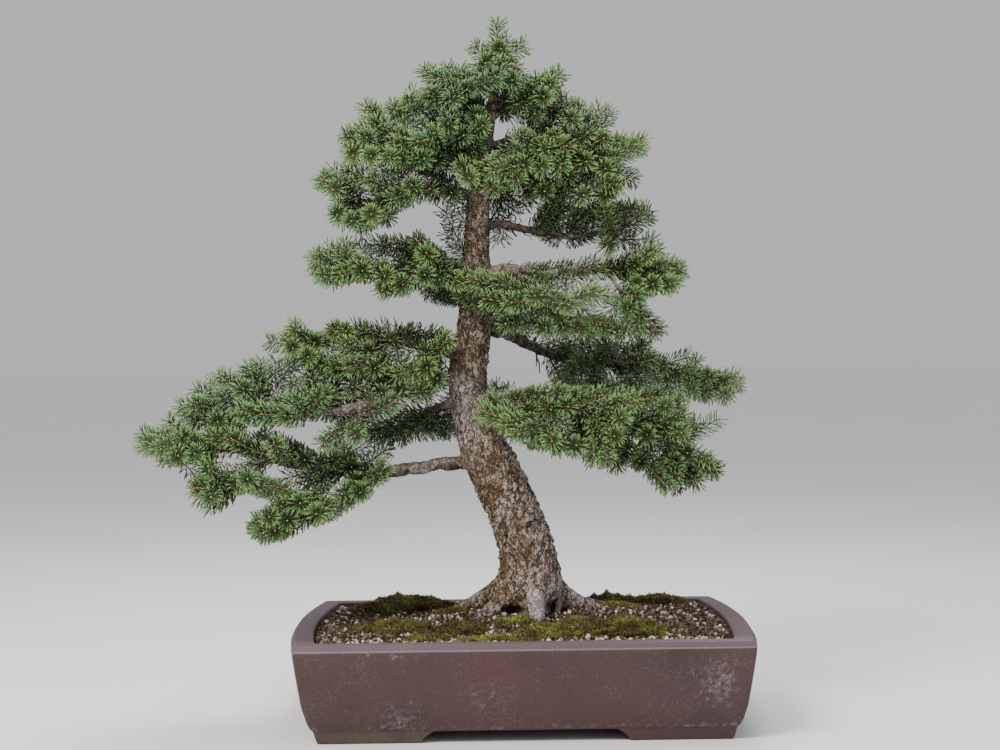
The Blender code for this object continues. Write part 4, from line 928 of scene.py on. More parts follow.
# Pads of foliage, one for each limb or group of limbs. The outline is how the pad shows from the front (X, Z),
# middle is the line (X, Y) that it spreads from, front and back are how far it spreads, and tint runs from
# blue-green to yellow.
pads = {
    "l1": {"limbs": [0], "count": 98, "tint": 0.38, "middle": [(-150, -12), (-400, -50)], "front": 92, "back": 66,
        "outline": [(-406, 300), (-380, 309), (-345, 308), (-300, 306), (-260, 302), (-232, 294), (-215, 284),
        (-195, 283), (-174, 280), (-168, 270), (-150, 264), (-143, 250), (-160, 238), (-172, 232), (-180, 216),
        (-200, 207), (-232, 198), (-262, 179), (-280, 183), (-296, 200), (-284, 216), (-250, 226), (-275, 229),
        (-300, 236), (-316, 219), (-336, 221), (-336, 232), (-358, 236), (-354, 252), (-340, 262), (-366, 268),
        (-388, 272), (-410, 278)]},
    "l3": {"limbs": [2], "count": 80, "tint": 0.2, "middle": [(-130, -10), (-350, -8)], "front": 84, "back": 62,
        "outline": [(-368, 318), (-356, 334), (-338, 342), (-322, 348), (-302, 356), (-290, 376), (-262, 386),
        (-225, 390), (-180, 376), (-120, 372), (-72, 372), (-74, 332), (-110, 329), (-150, 332), (-200, 330),
        (-235, 322), (-268, 312), (-300, 300), (-345, 302)]},
    "l2": {"limbs": [1], "count": 68, "tint": 0.55, "middle": [(-80, 16), (-265, 12)], "front": 74, "back": 84,
        "outline": [(-274, 402), (-262, 411), (-236, 410), (-225, 406), (-210, 418), (-190, 419), (-150, 420),
        (-112, 421), (-72, 417), (-62, 396), (-74, 350), (-130, 346), (-172, 350), (-210, 362), (-245, 372),
        (-256, 392)]},
    "l2_low": {"limbs": [3], "count": 20, "tint": 0.38, "middle": [(-80, 40), (-165, 64)], "front": 40, "back": 44,
        "outline": [(-204, 318), (-205, 308), (-178, 302), (-180, 286), (-140, 282), (-84, 292), (-64, 284),
        (-62, 322), (-120, 330)]},
    "l4": {"limbs": [4], "count": 52, "tint": 0.4, "middle": [(-70, 8), (-218, -18)], "front": 72, "back": 76,
        "outline": [(-224, 474), (-224, 494), (-204, 505), (-184, 510), (-140, 510), (-98, 516), (-86, 492),
        (-62, 482), (-48, 466), (-48, 452), (-75, 448), (-100, 454), (-114, 441), (-150, 446), (-152, 458),
        (-180, 458), (-204, 446), (-219, 456)]},
    "l5": {"limbs": [5, 20], "count": 44, "tint": 0.34, "middle": [(-66, 2), (-210, -20)], "front": 70, "back": 70,
        "outline": [(-221, 566), (-206, 585), (-160, 592), (-110, 594), (-60, 590), (-58, 562), (-62, 542),
        (-96, 541), (-120, 536), (-150, 521), (-166, 506), (-184, 506), (-198, 524), (-203, 545)]},
    "l6": {"limbs": [6], "count": 64, "tint": 0.36, "middle": [(-56, 2), (-186, -10)], "front": 70, "back": 66,
        "outline": [(-192, 604), (-182, 626), (-164, 634), (-164, 648), (-148, 658), (-126, 656), (-118, 668),
        (-104, 668), (-80, 652), (-30, 640), (-26, 600), (-40, 576), (-80, 574), (-120, 578), (-150, 578),
        (-194, 585)]},
    "l7": {"limbs": [7], "count": 31, "tint": 0.27, "middle": [(-36, 0), (-100, -4)], "front": 56, "back": 48,
        "outline": [(-104, 680), (-98, 690), (-76, 698), (-56, 692), (-34, 680), (-30, 648), (-60, 636),
        (-100, 640), (-96, 664)]},
    "top": {"limbs": [], "count": 14, "tint": 0.31, "middle": [(-20, 0), (-10, 0)], "front": 34, "back": 30,
        "outline": [(-48, 704), (-40, 716), (-8, 720), (12, 718), (18, 706), (2, 694), (0, 676), (-40, 676),
        (-38, 694)]},
    "r7": {"limbs": [8, 9], "count": 31, "tint": 0.42, "middle": [(-14, 2), (50, 2)], "front": 52, "back": 56,
        "outline": [(-20, 676), (10, 676), (26, 684), (50, 686), (58, 676), (48, 662), (40, 640), (20, 622),
        (2, 628), (-14, 650)]},
    "crown_front": {"sprays": ["l7", "r7", "top"], "limbs": [7, 8], "trunk": (640, 700), "count": 13, "tint": 0.44,
        "middle": [(-60, -30), (40, -30)], "front": 22, "back": 14,
        "outline": [(-62, 660), (-50, 690), (-34, 700), (0, 700), (14, 684), (44, 676), (46, 660), (6, 654),
        (-14, 660), (-40, 652)]},
    "middle_front": {"sprays": ["l6_front", "r6_front"], "limbs": [6, 10], "trunk": (556, 610), "count": 23,
        "tint": 0.42, "middle": [(-84, -56), (64, -56)], "front": 26, "back": 18,
        "outline": [(-84, 588), (-62, 596), (-40, 590), (-20, 602), (10, 592), (40, 594), (66, 586), (66, 566),
        (40, 552), (16, 556), (-4, 548), (-30, 546), (-56, 556), (-70, 572)]},
    "middle_left": {"sprays": ["l6_front", "l6_back"], "limbs": [6], "trunk": (590, 640), "count": 10,
        "tint": 0.38, "middle": [(-80, -40), (-30, -40)], "front": 22, "back": 26,
        "outline": [(-84, 640), (-60, 646), (-34, 640), (-24, 618), (-30, 600), (-60, 596), (-84, 604)]},
    "front_knee": {"sprays": ["r4_front"], "limbs": [14], "trunk": (440, 480), "count": 8, "tint": 0.46,
        "middle": [(-60, -56), (10, -60)], "front": 20, "back": 14,
        "outline": [(-62, 470), (-30, 474), (4, 466), (10, 440), (-20, 424), (-52, 430), (-70, 452)]},
    "by_trunk_left": {"sprays": ["l5_front", "l4_front"], "limbs": [5], "trunk": (480, 550), "count": 8,
        "tint": 0.3, "middle": [(-50, 14), (-84, 10)], "front": 12, "back": 20,
        "outline": [(-84, 484), (-88, 582), (-54, 584), (-56, 482)]},
    "by_trunk_right": {"sprays": ["r5_back", "r5_tip"], "limbs": [12, 20], "trunk": (486, 550), "count": 10,
        "tint": 0.4, "middle": [(-30, 22), (24, 22)], "front": 8, "back": 22,
        "outline": [(-34, 474), (-34, 556), (24, 558), (30, 528), (0, 520), (-4, 484)]},
    "r6": {"limbs": [10, 11], "count": 92, "tint": 0.46, "middle": [(-10, 2), (138, 0)], "front": 76, "back": 70,
        "outline": [(-14, 640), (20, 640), (46, 660), (62, 658), (74, 646), (96, 653), (103, 640), (88, 616),
        (120, 617), (142, 606), (145, 592), (124, 590), (110, 576), (122, 562), (122, 550), (96, 539),
        (60, 538), (10, 546), (-20, 556), (-60, 570), (-70, 588), (-20, 596), (10, 590), (24, 606)]},
    "r5": {"limbs": [12], "count": 34, "tint": 0.5, "middle": [(0, 4), (146, 18)], "front": 52, "back": 62,
        "outline": [(150, 534), (128, 546), (96, 542), (50, 552), (10, 552), (-6, 540), (30, 528), (60, 524),
        (84, 520), (100, 518), (118, 517), (150, 522)]},
    "r4": {"limbs": [13, 14], "count": 106, "tint": 0.5, "middle": [(-30, 4), (180, 10)], "front": 100, "back": 62,
        "outline": [(-30, 470), (6, 474), (42, 482), (78, 484), (112, 482), (120, 498), (132, 510), (148, 509),
        (155, 500), (154, 486), (180, 480), (188, 461), (176, 446), (138, 438), (130, 424), (158, 402),
        (150, 386), (128, 393), (90, 393), (50, 398), (10, 398), (-24, 404), (-54, 424), (-78, 454), (-62, 468)]},
    "r3": {"limbs": [15], "count": 70, "tint": 0.4, "middle": [(30, 76), (240, 92)], "front": 60, "back": 66,
        "outline": [(30, 396), (56, 410), (88, 408), (140, 400), (146, 384), (168, 378), (178, 386),
        (190, 378), (188, 364), (216, 362), (247, 347), (246, 337), (222, 325), (188, 323), (160, 315),
        (110, 326), (60, 330), (30, 342), (38, 366), (56, 382)]},
    "r2": {"limbs": [16], "count": 66, "tint": 0.5, "middle": [(10, 2), (208, -34)], "front": 70, "back": 60,
        "outline": [(60, 338), (126, 346), (158, 342), (176, 334), (187, 320), (180, 304), (200, 284),
        (194, 272), (208, 266), (219, 254), (206, 242), (194, 234), (172, 230), (160, 224), (150, 236),
        (124, 254), (100, 268), (60, 290)]},
    "r1": {"limbs": [17], "count": 56, "tint": 0.5, "middle": [(-16, -36), (116, -112)], "front": 44, "back": 50,
        "outline": [(-50, 312), (-32, 340), (20, 349), (60, 348), (92, 347), (124, 346), (120, 316),
        (110, 280), (106, 253), (92, 246), (82, 256), (68, 258), (56, 272), (44, 265), (20, 279), (-4, 285),
        (-34, 300)]},
    "rear": {"limbs": [18], "count": 38, "tint": 0.3, "middle": [(-30, 110), (-10, 180)], "front": 46, "back": 60,
        "outline": [(-88, 340), (-60, 352), (-10, 356), (40, 350), (56, 330), (40, 300), (10, 280), (-20, 284),
        (-70, 292), (-84, 310)]},
    "rear_mid": {"limbs": [19], "count": 33, "tint": 0.3, "middle": [(-62, 84), (-50, 150)],
        "front": 44, "back": 60,
        "outline": [(-110, 452), (-90, 470), (-50, 476), (-20, 470), (-6, 448), (-30, 432), (-70, 430),
        (-104, 438)]},
    "l1_gap": {"limbs": [0], "count": 9, "tint": 0.4, "middle": [(-180, -20), (-270, -36)],
        "front": 34, "back": 20, "sprays": ["l1_low"],
        "outline": [(-262, 262), (-236, 264), (-200, 252), (-196, 238), (-226, 232), (-256, 240)]},
    "l3_gap": {"limbs": [2], "count": 8, "tint": 0.35, "middle": [(-180, -20), (-270, -20)],
        "front": 30, "back": 24, "sprays": ["l3_up"],
        "outline": [(-262, 352), (-240, 374), (-212, 368), (-208, 344), (-236, 336)]},
}


# how many of a spray's shoots are old and browning, where that isn't the usual share
oldOf = {"l2_inner": 0.8, "l2_front": 0.6, "l1_top": 0.4, "l1_back": 0.5, "l3_back": 0.5, "r5_tip": 0.6,
         "l2_rear": 0.5}
# places, seen from the front, where the foliage is dead and thin: X, Z and radius
deadPatches = [(-120, 402, 26), (-104, 334, 26), (-150, 352, 22), (54, 468, 26), (-66, 520, 26), (-14, 532, 22),
               (-70, 570, 18), (110, 398, 22)]


def insidePolygon(points, polygon):
    inside = np.zeros(len(points), bool)
    away = np.full(len(points), 1e9)
    for a, b in zip(polygon, np.roll(polygon, -1, axis=0)):
        crossing = (a[1] > points[:, 1]) != (b[1] > points[:, 1])
        rise = b[1] - a[1] if abs(b[1] - a[1]) > 1e-6 else 1e-6
        inside ^= crossing & (points[:, 0] < a[0] + (b[0] - a[0]) * (points[:, 1] - a[1]) / rise)
        share = np.clip(((points - a) @ (b - a)) / ((b - a) @ (b - a)), 0, 1)
        away = np.minimum(away, np.linalg.norm(points - (a + share[:, None] * (b - a)), axis=1))
    return inside, away


# Shoot tips spread through a pad: a drooping dome, thickest over its limb, that fills the outline from the front.
def padTips(pad, taken, rng):
    look = padLook
    outline = np.array(pad["outline"], float)
    low, high = outline.min(axis=0), outline.max(axis=0)
    places = rng.uniform(low, high, (pad["count"] * 60, 2))
    inside, away = insidePolygon(places, outline)
    waves = [noise.noise(Vector((x / look["waveSize"], z / look["waveSize"], pad["count"]))) for x, z in places]
    away = away - look["waves"] * np.clip(waves, 0, 1)
    kept = inside & (away > look["edgeInset"])
    places, away = places[kept], away[kept]
    edgeFirst = np.argsort(away > look["edgeInset"] + look["edgeBand"], kind="stable")
    places = places[edgeFirst]
    (innerX, innerY), (outerX, outerY) = pad["middle"]
    tops, floors = np.full(40, low[1]), np.full(40, high[1])    # the pad's height in 40 columns
    cells = np.clip(((places[:, 0] - low[0]) / (high[0] - low[0]) * 39).astype(int), 0, 39)
    np.maximum.at(tops, cells, places[:, 1])
    np.minimum.at(floors, cells, places[:, 1])
    viewX, viewY, viewZ = photoView["place"]
    tips = list(taken)
    found = []
    facings = {}
    for (x, z), cell, inset in zip(places, cells, away):
        out = (x - innerX) / (outerX - innerX)
        thinning = math.sqrt(max(0.05, 1 - max(0.0, (out - 0.35) / 0.7) ** 2))
        taper = thinning * (0.6 + 0.4 * min(1.0, max(0.0, out / 0.3)))
        height = (z - floors[cell]) / max(8.0, tops[cell] - floors[cell])
        side = -1 if rng.uniform() < look["forward"] else 1
        reach = pad["front"] if side < 0 else pad["back"]
        domed = math.sqrt(max(0.0, 1 - min(1.0, height) ** 1.6))
        spread = side * reach * taper * domed * rng.beta(*look["spreadPeak"])
        y = innerY + (outerY - innerY) * min(1.1, max(-0.1, out)) + spread + rng.normal(0, 5)
        y = min(y, look["farthest"])
        scale = (y - viewY) / -viewY       # so that the tip shows at x and z from the camera
        tip = np.array([viewX + (x - viewX) * scale, y, viewZ + (z - viewZ) * scale])
        if tips and np.min(np.linalg.norm(np.array(tips) - tip, axis=1)) < look["tipSpacing"]:
            continue
        tips.append(tip)
        found.append(tip)
        facings[tuple(tip)] = side * float(smoothStep(look["edgeInset"] + 3, look["edgeInset"] + 14, inset))
        if len(found) >= pad["count"]:
            break
    return found, facings


def spraysOf(name):
    return [key for key in sprayEnds if key == name or (key.startswith(name + "_") and key not in pads)]


# Grows a shoot to each tip of a pad from the limb, spray or earlier shoot that it would naturally fork from.
def padShoots(name, pad, rng):
    look = padLook
    names = pad.get("sprays") or spraysOf(name)
    starts, along, owners = [], [], []
    for key in names:
        for axis in sprayAxes(sprayEnds[key]):
            t = np.linspace(0.1, 0.92, 12)
            starts.append(curvePoint(axis, t))
            along.append(curveAlong(axis, t))
            owners += [key] * len(t)
    bases = np.array([sprayEnds[key][0] for key in names], float)
    for limb in pad["limbs"]:
        path = smoothPath(limbLines[limb], 8.0)
        path = path[len(path) // 4:, :3]
        starts.append(path)
        along.append(unit(np.gradient(path, axis=0)))
        owners += [names[int(np.argmin(np.linalg.norm(bases - point, axis=1)))] for point in path]
    if "trunk" in pad:
        low, high = pad["trunk"]
        path = smoothPath(trunkLine, 8.0)[:, :3]
        path = path[(path[:, 2] > low) & (path[:, 2] < high)]
        starts.append(path)
        along.append(np.tile((0.0, -0.95, 0.3), (len(path), 1)))
        owners += [names[0]] * len(path)
    starts, along = np.concatenate(starts), np.concatenate(along)
    ends = [np.array(end, float) for key in names for end in sprayEnds[key][1:]]
    tips, facings = padTips(pad, ends, rng)
    tips.sort(key=lambda tip: float(np.min(np.linalg.norm(starts - tip, axis=1))))
    found = []
    for tip in tips:
        chord = tip - starts
        away = np.linalg.norm(chord, axis=1)
        turn = np.einsum("ij,ij->i", chord / np.maximum(away, 1e-6)[:, None], along)
        cost = np.abs(away - look["reach"]) * np.where(away > look["reach"], 1.0, look["nearer"])
        cost = cost + look["turnCost"] * np.maximum(0, 0.45 - turn)
        facing = facings[tuple(tip)]    # -1 forwards and 1 backwards in the middle of a pad, 0 at its edge
        cost += look["sideways"] * abs(facing) * np.hypot(chord[:, 0], chord[:, 2])
        k = int(np.argmin(cost + rng.uniform(0, 4, len(cost))))
        start, heading = starts[k], along[k]
        if away[k] < look["shortest"]:
            continue
        control = start + (heading * 0.3 + unit(chord[k]) * 0.3) * away[k] * 0.8 + rng.normal(0, 1.0, 3)
        behind = tip - np.array((0.12 * chord[k][0] / away[k], facing, 0.16)) * 0.42 * away[k]
        control += (behind - control) * look["fanned"] * abs(facing)
        curve = (start, control, tip)
        found.append((owners[k], curve))
        t = np.array([0.3, 0.45, 0.6, 0.75])
        starts = np.concatenate([starts, curvePoint(curve, t)])
        along = np.concatenate([along, curveAlong(curve, t)])
        owners += [owners[k]] * len(t)
    return found


# Needles round one shoot: where each is rooted, its heading, the way it curves, length, tint and deadness.
def shootNeedles(curve, spacing, first, tint, dead, inner, rng):
    look = needleLook
    count = max(12, int(curveLength(curve) * (1 - first) / spacing))
    order = np.arange(count)
    share = np.clip((order + 0.5 + rng.normal(0, 0.4, count)) / count, 0, 1)
    t = first + (1 - first) * (1 - (1 - share) ** look["crowding"])
    roots, along = curvePoint(curve, t), curveAlong(curve, t)
    side = unit(np.cross(along, (0, 0, 1)) + 1e-6)
    up = np.cross(side, along)
    # combed into rows on a level shoot, spiralled round an upright one
    combed = np.radians(np.array(look["rows"])[order % len(look["rows"])])
    spiral = order * math.radians(look["goldenTurn"])
    turn = np.where((np.abs(along[:, 2]) < 0.8) & (t < 0.9), combed, spiral)
    turn = turn + rng.normal(0, 0.1) + rng.normal(0, look["turnDrift"], count)
    outward = side * np.cos(turn)[:, None] + up * np.sin(turn)[:, None]
    toTip = smoothStep(0.88, 1.0, t)
    lean = look["lean"] + (look["tipLean"] - look["lean"]) * toTip
    lean = np.radians(lean + rng.normal(0, look["leanDrift"], count) * (1 + toTip))[:, None]
    heading = along * np.cos(lean) + outward * np.sin(lean)
    size = look["length"] * rng.normal(1.0, look["sizeDrift"], count)
    size = size * (1 - 0.06 * toTip) * (1 - 0.2 * smoothStep(0.2, 0.0, t))
    curl = along * (look["curl"] * size)[:, None]
    tints = np.clip(tint + 0.1 * toTip + rng.normal(0, look["tintDrift"], count), 0, 1)
    green = 0.75 if dead < 1 else 1.4      # from here on along the shoot all live; over 1 the tip dies too
    deads = np.clip(dead * smoothStep(green, 0.1, t) * rng.uniform(0.3, 1.3, count), 0, 1)
    return roots, heading, curl, size, tints, deads, np.full(count, inner)


# All needles as slim three-sided spindles, thin at the twig and widest near the blunt point.
def needleMesh(roots, heading, curl, size, tints, deads, inners, rng):
    look = needleLook
    count = len(roots)
    across = unit(np.cross(heading, unit(rng.normal(0, 1, (count, 3)))))
    over = np.cross(heading, across)
    points = np.empty((count, 5, 3))
    points[:, 0] = roots - heading * 2.0    # the foot passes through the twig
    for k, angle in enumerate(np.radians((0, 120, 240))):
        ring = across * math.cos(angle) + over * math.sin(angle)
        points[:, 1 + k] = roots + heading * size[:, None] * look["waist"] + curl * 0.6 + ring * look["radius"]
    points[:, 4] = roots + heading * size[:, None] + curl
    start = np.arange(count)[:, None] * 5
    sides = np.concatenate([start + np.array([[0, 1 + (k + 1) % 3, 1 + k]]) for k in range(3)])
    ends = np.concatenate([start + np.array([[1 + k, 1 + (k + 1) % 3, 4]]) for k in range(3)])
    marks = {"along": np.tile([0.0, 0.8, 0.8, 0.8, 1.0], count),
             "tint": np.repeat(tints, 5), "dead": np.repeat(deads, 5), "inner": np.repeat(inners, 5)}
    return points.reshape(-1, 3), [sides, ends], marks


def budPart(curve):
    look = needleLook
    tip, along = curvePoint(curve, 1.0), curveAlong(curve, 1.0)
    profile = [(-0.6, 0.5), (0.2, 1.0), (0.62, 0.7)]    # how far along the bud, how wide
    path = np.array([(*(tip + along * look["budLength"] * h), look["budRadius"] * r) for h, r in profile])
    points, quads, tris = tube(path, 5)
    points[-1] += along * look["budLength"] * 0.38
    return points, quads, tris, {"along": np.concatenate([np.repeat([0.0, 0.5, 0.8], 5), [0.0, 1.0]])}


def twigPart(curve, low, high, sides, rings, ageLow, ageHigh):
    t = np.linspace(0, 1, rings)
    path = np.column_stack([curvePoint(curve, t), low + (high - low) * t])
    age = np.concatenate([np.repeat(ageLow + (ageHigh - ageLow) * t, sides), [ageLow, ageHigh]])
    return *tube(path, sides), {"age": age}


# Each spray's needles are one piece; all twigs are one more, and all buds another.
def buildFoliage(leaf, twig, bud):
    look = needleLook
    twigs, buds = [], []
    extra = {name: [] for name in sprayEnds}
    tintOf = {}
    for number, (name, pad) in enumerate(pads.items()):
        for owner, curve in padShoots(name, pad, np.random.default_rng(300 + number)):
            extra[owner].append(curve)
        for key in spraysOf(name):
            tintOf[key] = pad["tint"]
    axesOf = {name: sprayAxes(ends) for name, ends in sprayEnds.items()}
    for number, (name, axes) in enumerate(axesOf.items()):
        rng = np.random.default_rng(200 + number)
        extra[name] = [side for axis in axes for side in sideShoots(axis, rng)] + extra[name]
    outer = np.array([curvePoint(curve, 0.75) for name in sprayEnds for curve in axesOf[name] + extra[name]])
    light = unit(np.array(look["shadeFrom"]))

    def innerOf(curve):  # how many other shoots stand between this one and the light, 4 or more counting as 1
        chord = outer - curvePoint(curve, 0.75)
        ahead = chord @ light
        beside = np.linalg.norm(chord - ahead[:, None] * light, axis=1)
        between = (ahead > 6) & (ahead < look["shadeReach"]) & (beside < look["shadeWidth"])
        return min(1.0, np.count_nonzero(between) / 4)

    total = 0
    for number, (name, axes) in enumerate(axesOf.items()):
        rng = np.random.default_rng(100 + number)
        found = []
        sprayTint = tintOf[name] + rng.uniform(-0.08, 0.08)
        for k, axis in enumerate(axes):
            tint = np.clip(sprayTint + rng.normal(0, 0.08), 0.05, 0.9)
            inner = innerOf(axis)
            found.append(shootNeedles(axis, look["axisSpacing"], 0.12, tint, 0.9, inner, rng))
            share = max(0.0, 1 - look["terminal"] / curveLength(axis))
            fork = curvePoint(axis, share)
            terminal = (fork, curvePoint(axis, (1 + share) / 2) * 2 - (fork + axis[2]) / 2, axis[2])
            found.append(shootNeedles(terminal, look["spacing"], 0.0, tint + 0.1, 0.0, inner, rng))
            twigs.append(twigPart(axis, 1.9 if k == 0 else 1.4, 0.8, 6, 9, 1.0, 0.1))
            buds.append(budPart(axis))
        for shoot in extra[name]:
            tint = np.clip(sprayTint + rng.normal(0, 0.14), 0, 0.95)
            old = rng.uniform(0.5, 1.0) if rng.uniform() < oldOf.get(name, look["oldShare"]) else 0.15
            middle = curvePoint(shoot, 0.6)
            spacing = look["spacing"]
            if any(math.hypot(middle[0] - x, middle[2] - z) < reach for x, z, reach in deadPatches):
                old = rng.uniform(0.8, 1.3)
                spacing *= look["thinning"]
            found.append(shootNeedles(shoot, spacing, 0.06, tint, old, innerOf(shoot), rng))
            twigs.append(twigPart(shoot, look["twigRadius"], look["twigRadius"] * 0.7, 3, 5, 0.8, 0.15))
            buds.append(budPart(shoot))
        arrays = [np.concatenate(column) for column in zip(*found)]
        points, faces, marks = needleMesh(*arrays, rng)
        dress(meshPiece("needles_" + name, points, faces, leaf, marks=marks), "needles", "spray_" + name)
        total += len(arrays[0])
    for name, parts, material in (("young_twigs", twigs, twig), ("resting_buds", buds, bud)):
        points, faces, marks = joined(parts)
        dress(meshPiece(name, points, faces, material, marks=marks), "bark")
    print("foliage made:", total, "needles,", len(buds), "shoots")


buildFoliage(spruceNeedles(), twigBark(), budScales())


soilSizes = {
    "edge": 95.0, "mound": 11.0,    # mm: its height at the wall, and how much more in the middle
    "centre": (10.0, 22.0), "spread": (120.0, 95.0), "inset": 20.9, "floor": 24.4,
    "columns": 130, "rows": 86, "roughness": 1.1, "settled": 0.8,   # under the loose grains
}


def soilLevel(x, y):
    s = soilSizes
    return s["edge"] + s["mound"] * np.exp(-((x - s["centre"][0]) / s["spread"][0]) ** 2
                                           - ((y - s["centre"][1]) / s["spread"][1]) ** 2)


# Gritty potting mix: crushed pumice, lava and fired clay, dry on top, with painted shade between the grains.
def pottingMix():
    material, tree, shader, where = newMaterial("gritty potting mix", 0.95, 1.45, 0.2)
    crumbs = addNode(tree, "TexVoronoi", {"Vector": where, "Scale": perMm(3.0)}).outputs
    tone = addNode(tree, "SeparateColor", {"Color": crumbs["Color"]})
    colour = addNode(tree, "ValToRGB", {"Fac": tone.outputs["Red"], "stops": [
        (0.0, "#261d18"), (0.45, "#40332a"), (0.75, "#5a4a3c"), (1.0, "#8a7b6c")]})
    # painted shade in the gaps between the crumbs
    gapShade = addNode(tree, "ValToRGB", {"Fac": crumbs["Distance"], "stops": [(0.35, 1.0), (0.75, 0.25)]})
    shadedCrumbs = addNode(tree, "Mix", {"data_type": "RGBA", "blend_type": "MULTIPLY", "Factor": 1.0,
                                 "A": colour, "B": gapShade})
    bump = addNode(tree, "Bump", {"invert": True, "Strength": 0.9, "Distance": 0.0012,
                                  "Height": crumbs["Distance"]})
    feed(tree, shader, {"Base Color": shadedCrumbs, "Normal": bump})
    return material


# Loose mineral grains: porous pumice in cream and grey, tan fired clay and brown lava, chalky and matte.
def mineralGrains():
    material, tree, shader, where = newMaterial("porous mineral grains", 0.92, 1.5, 0.25)
    kind = addNode(tree, "Attribute", {"attribute_name": "kind"}).outputs["Fac"]
    colour = addNode(tree, "ValToRGB", {"Fac": kind, "stops": [
        (0.0, "#30251f"), (0.25, "#4f4035"), (0.42, "#6f6053"), (0.6, "#9a8c7e"), (0.78, "#c4b7a6"),
        (1.0, "#e4d9c8")]})
    pores = addNode(tree, "TexNoise", {"Vector": where, "Scale": perMm(1.3), "Detail": 5.0})
    pitted = addNode(tree, "Mix", {"data_type": "RGBA", "blend_type": "OVERLAY", "Factor": 0.5,
                                   "A": colour, "B": pores})
    bump = addNode(tree, "Bump", {"Strength": 0.8, "Distance": 0.0005, "Height": pores})
    feed(tree, shader, {"Base Color": pitted, "Normal": bump})
    return material


# Dead spruce needles, dry and dull: fox brown when they have just dropped, grey when they have lain.
def dryLitter():
    material, tree, shader, where = newMaterial("dropped needles", 0.8, 1.45, 0.3)
    kind = addNode(tree, "Attribute", {"attribute_name": "kind"}).outputs["Fac"]
    colour = addNode(tree, "ValToRGB", {"Fac": kind,
                                        "stops": [(0.15, "#4d3423"), (0.35, "#74553a"), (0.6, "#8d8272")]})
    feed(tree, shader, {"Base Color": colour})
    return material


# Living moss: a pile of tiny leafy stems, yellow-green where fresh, olive and rust-brown where it has dried.
def livingMoss():
    material, tree, shader, where = newMaterial("cushion moss", 0.8, 1.4, 0.3)
    tint, along = (addNode(tree, "Attribute", {"attribute_name": name}).outputs["Fac"]
                   for name in ("tint", "along"))
    colour = addNode(tree, "ValToRGB", {"Fac": tint, "stops": [
        (0.0, "#2a2016"), (0.25, "#5a4427"), (0.45, "#5d542d"), (0.68, "#6c7034"), (1.0, "#959f4a")]})
    # painted shade on the cushion's skin and the feet of the tufts, and a painted highlight on the tuft tips
    depth = addNode(tree, "MapRange", {"Value": along, "To Min": 0.22, "To Max": 1.35})
    lit = addNode(tree, "Mix", {"data_type": "RGBA", "blend_type": "MULTIPLY", "Factor": 1.0,
                                "A": colour, "B": depth})
    feed(tree, shader, {"Base Color": lit})
    return material


# Cushions: centre X, Y, half length, half width, height, turn in degrees, greenness, greenness of the right side.
mossPlaces = {
    "rear_left": (-130.0, 90.0, 56.0, 40.0, 15.0, 8.0, 0.3, 0.46),
    "front_left": (-134.0, -50.0, 44.0, 30.0, 8.0, -12.0, 0.42, 0.55),
    "centre": (-62.0, -72.0, 25.0, 36.0, 7.0, 16.0, 0.22, 0.34),
    "front": (26.0, -103.0, 33.0, 30.0, 10.0, 5.0, 0.52, 0.66),
    "right": (104.0, -88.0, 41.0, 34.0, 13.0, -6.0, 0.34, 0.72),
}
smallMoss = [  # in the same order, only in the visual
    (-32.0, -125.0, 38.0, 13.0, 4.0, 0.0, 0.6, 0.7), (105.0, 79.0, 30.0, 20.0, 5.0, 0.0, 0.5, 0.6),
    (-74.0, 30.0, 22.0, 14.0, 4.5, 20.0, 0.45, 0.55), (-6.0, -44.0, 24.0, 15.0, 4.5, 0.0, 0.6, 0.7),
    (60.0, -44.0, 24.0, 14.0, 4.5, 10.0, 0.5, 0.55), (-96.0, -110.0, 26.0, 14.0, 3.5, 0.0, 0.45, 0.5),
    (104.0, 126.0, 34.0, 13.0, 11.0, 0.0, 0.36, 0.4), (158.0, 122.0, 34.0, 14.0, 10.5, -4.0, 0.32, 0.36),
]
mossLook = {
    "sunk": 5.0, "tuftsPerArea": 0.8, "tuftHeight": 2.7, "tuftRadius": 0.72,    # mm, per mm², mm, mm
    "strays": 0.25,         # share of tufts that stand on the soil round a cushion
    "foot": 0.6,            # mm that a cushion's edge lies under the soil
    "tintWander": 0.45, "tuftTint": 0.2, "tuftLean": 0.28,
}


